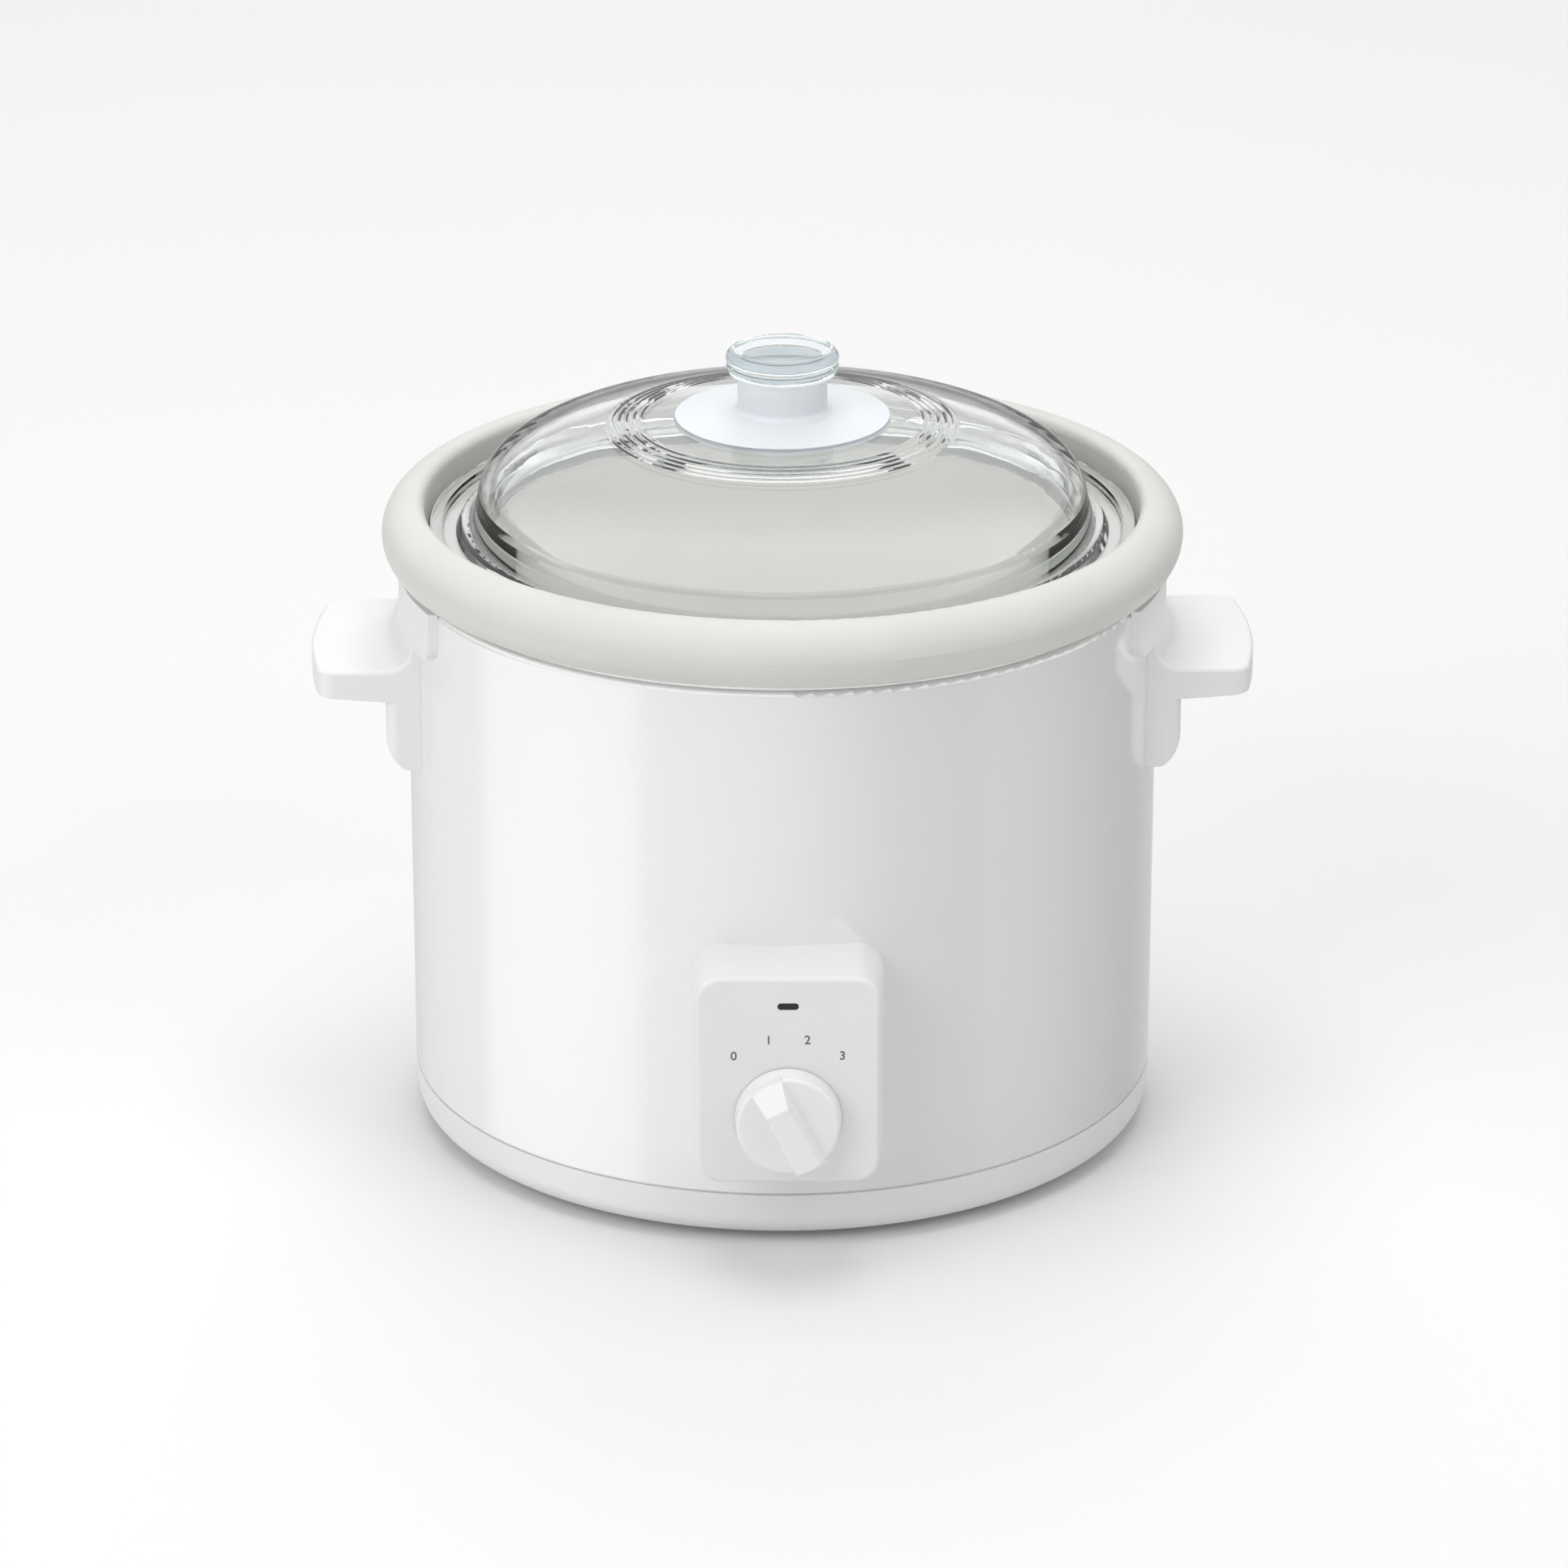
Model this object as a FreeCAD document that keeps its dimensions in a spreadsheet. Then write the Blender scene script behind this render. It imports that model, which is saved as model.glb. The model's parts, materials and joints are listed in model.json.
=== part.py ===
import FreeCAD, Part
import math
import os
import Sketcher
from FreeCAD import Placement, Rotation, Vector

# A round five-litre slow cooker, in millimetres.  +Z is up, the control panel faces -Y and the two
# handles lie along X.  The origin is on the pot's axis, on the surface that the feet stand on.

doc = FreeCAD.newDocument("SlowCooker")
sheet = doc.addObject("Spreadsheet::Sheet", "Sizes")


# ---------------------------------------------------------------- sizes

class Size:
    """A length that is a number and, at the same time, the expression it comes from."""

    def __init__(self, value, text):
        self.value = value
        self.text = text

    def __add__(self, other):
        other = as_size(other)
        return Size(self.value + other.value, f"({self.text} + {other.text})")

    def __sub__(self, other):
        other = as_size(other)
        return Size(self.value - other.value, f"({self.text} - {other.text})")

    def __mul__(self, other):
        other = as_size(other)
        return Size(self.value * other.value, f"({self.text} * {other.text})")

    def __truediv__(self, other):
        other = as_size(other)
        return Size(self.value / other.value, f"({self.text} / {other.text})")

    def __neg__(self):
        return Size(-self.value, f"(0 - {self.text})")

    __radd__ = __add__
    __rmul__ = __mul__

    def __rsub__(self, other):
        return as_size(other) - self


def as_size(number):
    """Turns a plain number into a Size, and leaves a Size as it is."""
    if isinstance(number, Size):
        return number
    return Size(float(number), f"({number})")


def root(size):
    """The square root of a Size."""
    return Size(math.sqrt(size.value), f"sqrt({size.text})")


DRIVING = {
    # outer shell, base and feet
    "shell_r": (136.3, "outside radius of the steel shell"),
    "shell_gauge": (0.8, "thickness of the shell's sheet"),
    "seam_z": (21.0, "height of the seam between shell and base"),
    "seam_groove": (0.9, "depth and height of the shadow groove under the seam"),
    "flange_z": (211.2, "top of the shell's inturned flange"),
    "flange_in_r": (125.4, "inner radius of the shell's inturned flange"),
    "base_z": (4.0, "underside of the base"),
    "base_wall": (2.6, "wall of the moulded base"),
    "base_foot_r": (131.2, "radius where the base's side meets its underside"),
    "base_round": (7.5, "rounding under the base's side"),
    "foot_r": (9.0, "radius of a rubber foot"),
    "foot_ring_r": (104.0, "distance of a foot from the axis"),
    "foot_stem_r": (3.5, "radius of a foot's stem"),
    # heating well
    "well_r": (122.5, "inside radius of the heating well"),
    "well_gauge": (0.8, "thickness of the well's sheet"),
    "well_floor_z": (46.0, "top of the well's floor"),
    "well_round": (16.0, "rounding at the well's floor"),
    # crock
    "crock_floor_z": (60.0, "inside floor of the crock"),
    "crock_under_z": (53.0, "underside of the crock's floor"),
    "crock_foot_z": (50.0, "standing ring of the crock"),
    "crock_in_low_r": (106.5, "inside radius above the floor's rounding"),
    "crock_in_top_r": (109.5, "inside radius under the ledge"),
    "crock_out_low_r": (113.0, "outside radius above the foot's rounding"),
    "crock_out_top_r": (118.6, "outside radius under the roll"),
    "roll_r": (12.0, "radius of the crock's rolled rim"),
    "roll_ring_r": (133.0, "radius of the roll's centre line"),
    "roll_z": (224.3, "height of the roll's centre line"),
    "ledge_z": (221.4, "ledge that the lid lies on"),
    "ledge_wall_r": (129.5, "wall around the ledge"),
    # lid
    "lid_r": (128.5, "outside radius of the lid"),
    "lid_z": (221.8, "underside of the lid's flange"),
    "lid_flange": (5.1, "thickness of the lid's flange"),
    "glass": (4.2, "thickness of the lid's glass"),
    "dome_r": (110.7, "radius of the dome at the flange"),
    "dome_rise": (41.7, "rise of the dome over the flange"),
    "lid_knob_r": (20.4, "outside radius of the glass knob"),
    "lid_neck_r": (16.2, "radius of the glass knob's neck"),
    "lid_top_z": (291.2, "top of the glass knob"),
    "lid_land_r": (38.9, "radius of the raised land round the knob"),
    "lid_step": (0.6, "height of the land over the dome"),
    # handles
    "plate_top_z": (182.7, "top of a handle's plate"),
    "plate_thick": (11.8, "thickness of the plate at its root"),
    "plate_taper": (2.2, "how much thinner the plate is at its tip"),
    "plate_half": (39.0, "half the plate's width"),
    "plate_tip_x": (168.2, "plate's end beside its corners"),
    "plate_tip_r": (166.7, "radius of the plate's bulged end"),
    "plate_corner": (7.0, "corner radius of the plate"),
    "block_x": (143.5, "outer face of the handle's mounting block"),
    "block_low_z": (144.8, "lower end of the mounting block"),
    "block_turn_z": (157.4, "where the block starts to round in"),
    "riser_r": (139.4, "radius of the handle's collar above the plate"),
    "collar_half": (58.5, "half the width of the collar"),
    "collar_low_z": (192.5, "lower edge of the collar's wings"),
    "collar_top_z": (211.5, "upper edge of the collar"),
    "handle_screw_y": (20.0, "half the distance between a handle's screws"),
    "handle_screw_z": (166.0, "height of a handle's screws"),
    "screw_r": (2.0, "radius of a screw's shank"),
    "screw_head_r": (3.6, "radius of a screw's head"),
    # control panel
    "panel_y": (162.0, "distance of the panel's face from the axis"),
    "panel_half": (32.25, "half the width of the panel's face"),
    "panel_low_z": (37.1, "lower edge of the panel"),
    "panel_top_z": (115.1, "upper edge of the panel"),
    "panel_corner": (9.0, "corner radius of the panel"),
    "panel_wall": (2.5, "wall of the panel's moulding"),
    "panel_draft": (3.3, "draft of the panel's sides, in degrees"),
    "panel_screw_x": (24.0, "half the distance between the panel's screws"),
    "panel_screw_low_z": (48.0, "height of the panel's lower screws"),
    "panel_screw_top_z": (96.0, "height of the panel's upper screws"),
    "lamp_z": (104.3, "height of the lamp window"),
    "lamp_half": (3.75, "half the width of the lamp window"),
    "lamp_end_r": (1.3, "half the height of the lamp window"),
    # rotary control
    "knob_z": (62.3, "height of the control knob's axis"),
    "knob_r": (18.7, "radius of the control knob"),
    "knob_deep": (8.0, "depth of the knob's disc"),
    "knob_gap": (0.5, "gap between the knob and the panel"),
    "grip_height": (6.0, "height of the knob's grip over its disc"),
    "grip_foot": (6.3, "half the width of the grip at its foot"),
    "grip_crest": (4.2, "half the width of the grip at its crest"),
    "knob_rest_angle": (27.0, "lean of the grip from upright when off, in degrees"),
    "shaft_r": (3.0, "radius of the switch shaft"),
    "shaft_play": (0.05, "running clearance of the shaft"),
    "bush_r": (4.0, "radius of the switch's threaded bush"),
    # cord gland
    "gland_z": (13.0, "height of the cord gland"),
    "gland_neck_r": (5.6, "radius of the gland's neck"),
    "gland_bore_r": (3.4, "radius of the hole for a cord"),
    # inner supports
    "shield_z": (32.0, "underside of the heat shield"),
    "shield_r": (119.0, "radius of the heat shield"),
    "stud_r": (3.0, "radius of the central tie bolt"),
    "cup_z": (12.0, "underside of the base's raised middle"),
}


def fill_sheet():
    """Writes every driving size into the spreadsheet, beside its meaning, and returns the Sizes."""
    sizes = {}
    for row, (alias, (value, meaning)) in enumerate(DRIVING.items(), start=1):
        sheet.set(f"A{row}", meaning)
        sheet.set(f"B{row}", str(value))
        sheet.setAlias(f"B{row}", alias)
        sizes[alias] = Size(value, f"Sizes.{alias}")
    doc.recompute()
    return sizes


S = fill_sheet()
NODES = []


# ---------------------------------------------------------------- sketch helpers

class Arc:
    """A round stretch of an outline: turn +1 runs counter-clockwise, -1 clockwise."""

    def __init__(self, radius, turn):
        self.radius = as_size(radius)
        self.turn = turn


def bind(thing, prop, size):
    """Binds a property to a Size's expression."""
    thing.setExpression(prop, as_size(size).text)


def fix_point(sketch, geometry, end, x, y):
    """Ties one end of a sketch element to its coordinates."""
    if as_size(x).value == 0:
        sketch.addConstraint(Sketcher.Constraint("PointOnObject", geometry, end, -2))
    else:
        index = sketch.addConstraint(Sketcher.Constraint("DistanceX", geometry, end, as_size(x).value))
        bind(sketch, f"Constraints[{index}]", x)
    if as_size(y).value == 0:
        sketch.addConstraint(Sketcher.Constraint("PointOnObject", geometry, end, -1))
    else:
        index = sketch.addConstraint(Sketcher.Constraint("DistanceY", geometry, end, as_size(y).value))
        bind(sketch, f"Constraints[{index}]", y)


def arc_between(start, end, radius, turn):
    """The minor arc from start to end with this radius."""
    chord = end - start
    half = chord.Length / 2
    left = Vector(-chord.y, chord.x, 0).normalize()
    height = math.sqrt(max(radius * radius - half * half, 0.0))
    centre = (start + end) * 0.5 + left * (height * turn)
    first, last = (start, end) if turn > 0 else (end, start)
    first_angle = math.atan2(first.y - centre.y, first.x - centre.x)
    last_angle = math.atan2(last.y - centre.y, last.x - centre.x)
    return Part.ArcOfCircle(Part.Circle(centre, Vector(0, 0, 1), radius), first_angle, last_angle)


def draw(sketch, outline, mirror=1):
    """Draws a closed outline: corner points, with an Arc between two points that it joins."""
    corners = []
    arcs = {}
    for item in outline:
        if isinstance(item, Arc):
            arcs[len(corners) - 1] = item
        else:
            corners.append((as_size(item[0]) * mirror, as_size(item[1])))
    ends = []
    for number, (x, y) in enumerate(corners):
        next_x, next_y = corners[(number + 1) % len(corners)]
        start = Vector(x.value, y.value, 0)
        end = Vector(next_x.value, next_y.value, 0)
        if number in arcs:
            turn = arcs[number].turn * mirror
            radius = arcs[number].radius
            geometry = sketch.addGeometry(arc_between(start, end, radius.value, turn))
            index = sketch.addConstraint(Sketcher.Constraint("Radius", geometry, radius.value))
            bind(sketch, f"Constraints[{index}]", radius)
            ends.append((geometry, 1, 2) if turn > 0 else (geometry, 2, 1))
        else:
            geometry = sketch.addGeometry(Part.LineSegment(start, end))
            ends.append((geometry, 1, 2))
    for number, (geometry, first, _) in enumerate(ends):
        before, _, last = ends[number - 1]
        sketch.addConstraint(Sketcher.Constraint("Coincident", before, last, geometry, first))
        fix_point(sketch, geometry, first, *corners[number])


def draw_circle(sketch, x, y, radius):
    """Draws a circle whose centre and radius are bound."""
    x, y, radius = as_size(x), as_size(y), as_size(radius)
    circle = Part.Circle(Vector(x.value, y.value, 0), Vector(0, 0, 1), radius.value)
    geometry = sketch.addGeometry(circle)
    index = sketch.addConstraint(Sketcher.Constraint("Radius", geometry, radius.value))
    bind(sketch, f"Constraints[{index}]", radius)
    fix_point(sketch, geometry, 3, x, y)


def new_body(label):
    """A PartDesign body that becomes one node."""
    body = doc.addObject("PartDesign::Body", label)
    body.Label = label
    NODES.append(body)
    return body


def new_sketch(body, role, offset=0.0):
    """A sketch on one of the body's origin planes, moved along the plane's normal by offset."""
    sketch = body.newObject("Sketcher::SketchObject", f"{body.Label}_sketch")
    plane = next(item for item in body.Origin.OriginFeatures if item.Role == role)
    sketch.AttachmentSupport = [(plane, "")]
    sketch.MapMode = "FlatFace"
    sketch.AttachmentOffset = Placement(Vector(0, 0, as_size(offset).value), Rotation())
    bind(sketch, "AttachmentOffset.Base.z", offset)
    return sketch


def revolve(body, outline, kind="PartDesign::Revolution"):
    """Turns an outline of (radius, height) points about the body's Z axis."""
    sketch = new_sketch(body, "XZ_Plane")
    draw(sketch, outline)
    turned = body.newObject(kind, f"{body.Label}_turned")
    turned.Profile = sketch
    turned.ReferenceAxis = (sketch, ["V_Axis"])
    turned.Angle = 360.0
    doc.recompute()
    return turned


def extrude(body, role, offset, outlines, length, kind="Pad", reverse=False, both=False, mirror=1):
    """Pads or pockets outlines drawn on a plane; an outline of one triple is a circle."""
    sketch = new_sketch(body, role, offset)
    for outline in outlines:
        if len(outline) == 3 and not isinstance(outline[0], tuple):
            draw_circle(sketch, as_size(outline[0]) * mirror, outline[1], outline[2])
        else:
            draw(sketch, outline, mirror)
    feature = body.newObject(f"PartDesign::{kind}", f"{body.Label}_{kind.lower()}")
    feature.Profile = sketch
    feature.Length = as_size(length).value
    bind(feature, "Length", length)
    feature.Reversed = reverse
    if both:
        feature.SideType = "Symmetric"
    doc.recompute()
    return feature


def edges_where(feature, wanted):
    """The names of a feature's edges that a test picks out."""
    return [f"Edge{n}" for n, edge in enumerate(feature.Shape.Edges, start=1) if wanted(edge)]


def samples(edge):
    """The start, middle and end of an edge."""
    first, last = edge.ParameterRange
    return [edge.valueAt(first), edge.valueAt((first + last) / 2), edge.valueAt(last)]


def all_at(edge, axis, level):
    """Whether an edge lies wholly at one level along an axis."""
    return all(abs(getattr(point, axis) - as_size(level).value) < 0.01 for point in samples(edge))


def round_edges(body, radius, wanted):
    """Rounds the edges of the body's tip that a test picks out."""
    base = body.Tip
    names = edges_where(base, wanted)
    if not names:
        raise RuntimeError(f"{body.Label}: no edge to round")
    rounding = body.newObject("PartDesign::Fillet", f"{body.Label}_fillet")
    rounding.Base = (base, names)
    bind(rounding, "Radius", radius)
    doc.recompute()
    if "Invalid" in rounding.State:
        raise RuntimeError(f"{body.Label}: {names} can't be rounded by {radius}")
    return rounding


def polar(body, feature, count):
    """Repeats a feature evenly about the body's Z axis."""
    pattern = body.newObject("PartDesign::PolarPattern", f"{body.Label}_ring")
    pattern.Originals = [feature]
    axis = next(item for item in body.Origin.OriginFeatures if item.Role == "Z_Axis")
    pattern.Axis = (axis, [""])
    pattern.Angle = 360.0
    pattern.Occurrences = count
    body.Tip = pattern
    doc.recompute()
    return pattern


# ---------------------------------------------------------------- primitive helpers

ALONG_X = Rotation(Vector(0, 1, 0), 90)
AGAINST_X = Rotation(Vector(0, 1, 0), -90)
ALONG_Y = Rotation(Vector(1, 0, 0), -90)
AGAINST_Y = Rotation(Vector(1, 0, 0), 90)
UPRIGHT = Rotation()


def place(thing, x, y, z, rotation=UPRIGHT):
    """Puts a thing at a point whose coordinates are bound to the sheet."""
    point = [as_size(value) for value in (x, y, z)]
    thing.Placement = Placement(Vector(*[value.value for value in point]), rotation)
    for axis, value in zip("xyz", point):
        bind(thing, f"Placement.Base.{axis}", value)


def rod(name, radius, height, at, rotation=UPRIGHT):
    """A cylinder with its foot at a point."""
    cylinder = doc.addObject("Part::Cylinder", name)
    bind(cylinder, "Radius", radius)
    bind(cylinder, "Height", height)
    place(cylinder, *at, rotation)
    return cylinder


def block(name, size, at, rotation=UPRIGHT):
    """A box with its low corner at a point."""
    box = doc.addObject("Part::Box", name)
    for prop, length in zip(("Length", "Width", "Height"), size):
        bind(box, prop, length)
    place(box, *at, rotation)
    return box


def cut(name, base, tool):
    """One solid less another."""
    result = doc.addObject("Part::Cut", name)
    result.Base = base
    result.Tool = tool
    return result


def common(name, base, tool):
    """What two solids share."""
    result = doc.addObject("Part::Common", name)
    result.Base = base
    result.Tool = tool
    return result


def fuse(name, *pieces):
    """Several solids joined into one."""
    result = doc.addObject("Part::MultiFuse", name)
    result.Shapes = list(pieces)
    return result


def group(name, pieces):
    """Several separate solids kept together as one node."""
    result = doc.addObject("Part::Compound", name)
    result.Links = list(pieces)
    return result


def node(thing, label):
    """Names a thing and lists it as a node."""
    thing.Label = label
    NODES.append(thing)
    return thing


def tube(name, outer, inner, height, at, rotation=UPRIGHT):
    """A plain round tube."""
    wall = rod(f"{name}_wall", outer, height, at, rotation)
    bore = rod(f"{name}_bore", inner, height, at, rotation)
    return cut(name, wall, bore)


# ---------------------------------------------------------------- casing

def outer_shell():
    """The drawn steel drum: a plain cylinder with a flange turned in at each end."""
    body = new_body("outer_shell")
    gauge = S["shell_gauge"]
    outside, inside = S["shell_r"], S["shell_r"] - gauge
    bend = 2.0
    revolve(body, [
        (S["shell_r"] - 6, S["seam_z"]),
        (outside, S["seam_z"]),
        (outside, S["flange_z"] - bend),
        Arc(bend, 1),
        (outside - bend, S["flange_z"]),
        (S["flange_in_r"], S["flange_z"]),
        (S["flange_in_r"], S["flange_z"] - gauge),
        (inside - bend, S["flange_z"] - gauge),
        Arc(bend, -1),
        (inside, S["flange_z"] - gauge - bend),
        (inside, S["seam_z"] + gauge),
        (S["shell_r"] - 6, S["seam_z"] + gauge),
    ])
    # the opening behind the control panel that the leads pass through
    window_half, window_low, window_top = 14, S["knob_z"] - 16, S["knob_z"] + 14
    extrude(body, "XZ_Plane", 100, [[
        (-window_half, window_low),
        (window_half, window_low),
        (window_half, window_top),
        (-window_half, window_top),
    ]], 50, "Pocket", reverse=True)
    # clearance holes for the panel's screws and the handles' screws
    clearance = S["screw_r"] + 0.2
    extrude(body, "XZ_Plane", 100, [
        (S["panel_screw_x"] * side, height, clearance)
        for side in (-1, 1)
        for height in (S["panel_screw_low_z"], S["panel_screw_top_z"])
    ], 50, "Pocket", reverse=True)
    extrude(body, "YZ_Plane", 0, [
        (S["handle_screw_y"] * side, S["handle_screw_z"], clearance) for side in (-1, 1)
    ], 400, "Pocket", both=True)


def heating_well():
    """The drawn liner that carries the heater bands and bears the crock's rim."""
    body = new_body("heating_well")
    gauge, inside, floor = S["well_gauge"], S["well_r"], S["well_floor_z"]
    outside = inside + gauge
    turn = S["well_round"]
    bend = 1.6
    lip_z = S["flange_z"]
    revolve(body, [
        (0, floor - gauge),
        (inside - turn, floor - gauge),
        Arc(turn + gauge, 1),
        (outside, floor + turn),
        (outside, lip_z - bend),
        Arc(bend, -1),
        (outside + bend, lip_z),
        (S["shell_r"] - 2.5, lip_z),
        (S["shell_r"] - 2.5, lip_z + gauge),
        (outside + bend, lip_z + gauge),
        Arc(bend + gauge, 1),
        (inside, lip_z - bend),
        (inside, floor + turn),
        Arc(turn, -1),
        (inside - turn, floor),
        (0, floor),
    ])


def base_cover():
    """The moulded base: a shallow pan with a raised middle for the tie bolt's nut."""
    body = new_body("base_cover")
    wall, under, cup = S["base_wall"], S["base_z"], S["cup_z"]
    side_z = under + 6.6
    cup_r = 14
    groove = S["seam_groove"]
    revolve(body, [
        (S["stud_r"] + 0.3, cup),
        (cup_r, cup),
        (cup_r + 2, under),
        (S["base_foot_r"], under),
        Arc(S["base_round"], 1),
        (S["shell_r"] - 0.4, side_z),
        (S["shell_r"], S["seam_z"] - groove),
        (S["shell_r"] - groove, S["seam_z"] - groove),
        (S["shell_r"] - groove, S["seam_z"]),
        (S["shell_r"] - wall, S["seam_z"]),
        (S["shell_r"] - wall - 0.4, side_z + 2),
        (S["base_foot_r"] - 0.2, under + wall),
        (cup_r + 2 + wall, under + wall),
        (cup_r + wall, cup + wall),
        (S["stud_r"] + 0.3, cup + wall),
    ])
    # cooling slots around the middle, twelve alike
    slot_start, slot_end, slot_half = 52, 70, 1.6
    slot = extrude(body, "XY_Plane", 0, [[
        (slot_start, -slot_half),
        (slot_end, -slot_half),
        (slot_end, slot_half),
        (slot_start, slot_half),
    ]], under + wall + 1, "Pocket", reverse=True)
    polar(body, slot, 12)
    reach = S["foot_ring_r"] * math.sqrt(0.5)
    extrude(body, "XY_Plane", 0, [
        (reach * along, reach * across, S["foot_stem_r"]) for along in (-1, 1) for across in (-1, 1)
    ], under + wall + 1, "Pocket", reverse=True)
    # the gland's hole, through the rear wall only
    rear_start, past_wall = -60, 90
    gland_hole = (0, S["gland_z"], S["gland_neck_r"])
    extrude(body, "XZ_Plane", rear_start, [gland_hole], past_wall, "Pocket")


def foot(number):
    """A rubber foot with a barbed stem that snaps into the base."""
    body = new_body(f"foot_{number}")
    stem, barb_z = S["foot_stem_r"], S["base_z"] + S["base_wall"]
    revolve(body, [
        (0, 0),
        (S["foot_r"] - 1, 0),
        (S["foot_r"], 1),
        (S["foot_r"], S["base_z"]),
        (stem, S["base_z"]),
        (stem, barb_z),
        (stem + 0.8, barb_z),
        (stem - 0.6, barb_z + 3),
        (0, barb_z + 3),
    ])
    angle = math.radians(45 + 90 * (number - 1))
    place(body, S["foot_ring_r"] * math.cos(angle), S["foot_ring_r"] * math.sin(angle), 0)


def heat_shield():
    """A thin steel disc between the well and the base, with its edge turned down."""
    body = new_body("heat_shield")
    gauge, low, edge = 0.6, S["shield_z"], S["shield_r"]
    revolve(body, [
        (S["stud_r"] + 0.3, low),
        (edge - gauge, low),
        (edge - gauge, low - 5),
        (edge, low - 5),
        (edge, low + gauge),
        (S["stud_r"] + 0.3, low + gauge),
    ])


def tie_parts():
    """The bolt through the middle that draws the base against the shell, with spacers and nut."""
    stud, low, shield = S["stud_r"], S["cup_z"], S["shield_z"]
    weld_pad = 1.5
    pad_z = S["well_floor_z"] - S["well_gauge"] - weld_pad
    pad = rod("tie_pad", 13, weld_pad, (0, 0, pad_z))
    shank = rod("tie_shank", stud, pad_z - low + 7, (0, 0, low - 7))
    node(fuse("tie_bolt", pad, shank), "tie_bolt")
    base_top = low + S["base_wall"]
    node(tube("spacer_low", 6, stud, shield - base_top, (0, 0, base_top)), "lower_spacer")
    shield_top = shield + 0.6
    tag = 0.8
    node(tube("spacer_top", 6, stud, pad_z - shield_top - tag, (0, 0, shield_top + tag)), "upper_spacer")
    eye = rod("earth_eye", 7, tag, (0, 0, shield_top))
    tongue = block("earth_tongue", (22, 6, tag), (0, -3, shield_top))
    hole = rod("earth_hole", stud, tag, (0, 0, shield_top))
    node(cut("earth_tag", fuse("earth_plate", eye, tongue), hole), "earth_tag")
    washer = 1.0
    node(tube("tie_washer", 8.5, stud, washer, (0, 0, low - washer)), "tie_washer")
    hexagon = doc.addObject("Part::Prism", "nut_hexagon")
    hexagon.Polygon = 6
    bind(hexagon, "Circumradius", 5.8)
    bind(hexagon, "Height", 5.0)
    place(hexagon, 0, 0, low - washer - 5.0)
    node(cut("tie_nut", hexagon, rod("nut_bore", stud, 5.0, (0, 0, low - washer - 5.0))), "tie_nut")


# ---------------------------------------------------------------- handles

def side_profile(points, body, mirror):
    """Cuts an outline, drawn in the plane through the axis and the handle, right across the handle."""
    extrude(body, "XZ_Plane", 0, [points], 200, "Pocket", both=True, mirror=mirror)


def handle(label, mirror):
    """A moulded handle: a flat plate on a block that saddles the shell, under a wider collar."""
    body = new_body(label)
    half, top, root_x = S["plate_half"], S["plate_top_z"], 118
    block_round, corner = 5.0, S["plate_corner"]
    outer = S["block_x"]
    extrude(body, "XY_Plane", S["block_low_z"], [[
        (root_x, -half),
        (outer - block_round, -half),
        Arc(block_round, 1),
        (outer, block_round - half),
        (outer, half - block_round),
        Arc(block_round, 1),
        (outer - block_round, half),
        (root_x, half),
    ]], top - S["block_low_z"], mirror=mirror)
    tip = S["plate_tip_x"]
    extrude(body, "XY_Plane", top - S["plate_thick"], [[
        (root_x, -half),
        (tip - corner, -half),
        Arc(corner, 1),
        (tip, corner - half),
        Arc(S["plate_tip_r"], 1),
        (tip, half - corner),
        Arc(corner, 1),
        (tip - corner, half),
        (root_x, half),
    ]], S["plate_thick"], mirror=mirror)
    riser = S["riser_r"]
    for reach, low in ((half, top - 2), (S["collar_half"], S["collar_low_z"])):
        edge_x = root(riser * riser - reach * reach)
        extrude(body, "XY_Plane", low, [[
            (root_x - 6, -reach),
            (edge_x, -reach),
            Arc(riser, 1),
            (edge_x, reach),
            (root_x - 6, reach),
        ]], S["collar_top_z"] - low, mirror=mirror)
    under = top - S["plate_thick"]
    side_profile([
        (outer, under),
        (tip + 4, under + S["plate_taper"]),
        (tip + 8, under - 4),
        (outer, under - 4),
    ], body, mirror)
    side_profile([
        (outer, S["block_turn_z"]),
        Arc(15.0, -1),
        (S["shell_r"] - 1.5, S["block_low_z"] - 1),
        (outer + 4, S["block_low_z"] - 1),
        (outer + 4, S["block_turn_z"]),
    ], body, mirror)
    revolve(body, [
        (0, S["block_low_z"] - 5),
        (S["shell_r"], S["block_low_z"] - 5),
        (S["shell_r"], S["collar_top_z"] + 5),
        (0, S["collar_top_z"] + 5),
    ], "PartDesign::Groove")
    # blind holes that the screws bite into
    extrude(body, "YZ_Plane", 0, [
        (S["handle_screw_y"] * side, S["handle_screw_z"], S["screw_r"]) for side in (-1, 1)
    ], outer - 1.6, "Pocket", reverse=mirror > 0)
    return body


def soften_handle(body):
    """The sweep from plate to collar, the wings' corners and the plate's softened edges."""

    def is_sweep(edge):
        middle = samples(edge)[1]
        return all_at(edge, "z", S["plate_top_z"]) and abs(abs(middle.x) - S["riser_r"].value) < 0.2

    def is_wing_corner(edge):
        reach = S["collar_half"]
        beside = all_at(edge, "y", reach) or all_at(edge, "y", -reach)
        return beside and all_at(edge, "z", S["collar_low_z"])

    def is_plate_edge(edge):
        reach = max(abs(point.x) for point in samples(edge))
        return all_at(edge, "z", S["plate_top_z"]) and reach > S["block_x"].value + 12

    round_edges(body, 9.0, is_sweep)
    round_edges(body, 7.5, is_wing_corner)
    round_edges(body, 1.6, is_plate_edge)


def screw(name, head_at, rotation, length):
    """A pan-head screw: the head sits at a point and the shank runs on from it."""
    head_height = 2.3
    head = rod(f"{name}_head", S["screw_head_r"], head_height, head_at, rotation)
    shank = rod(f"{name}_shank", S["screw_r"], length + head_height, head_at, rotation)
    return fuse(name, head, shank)


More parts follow.
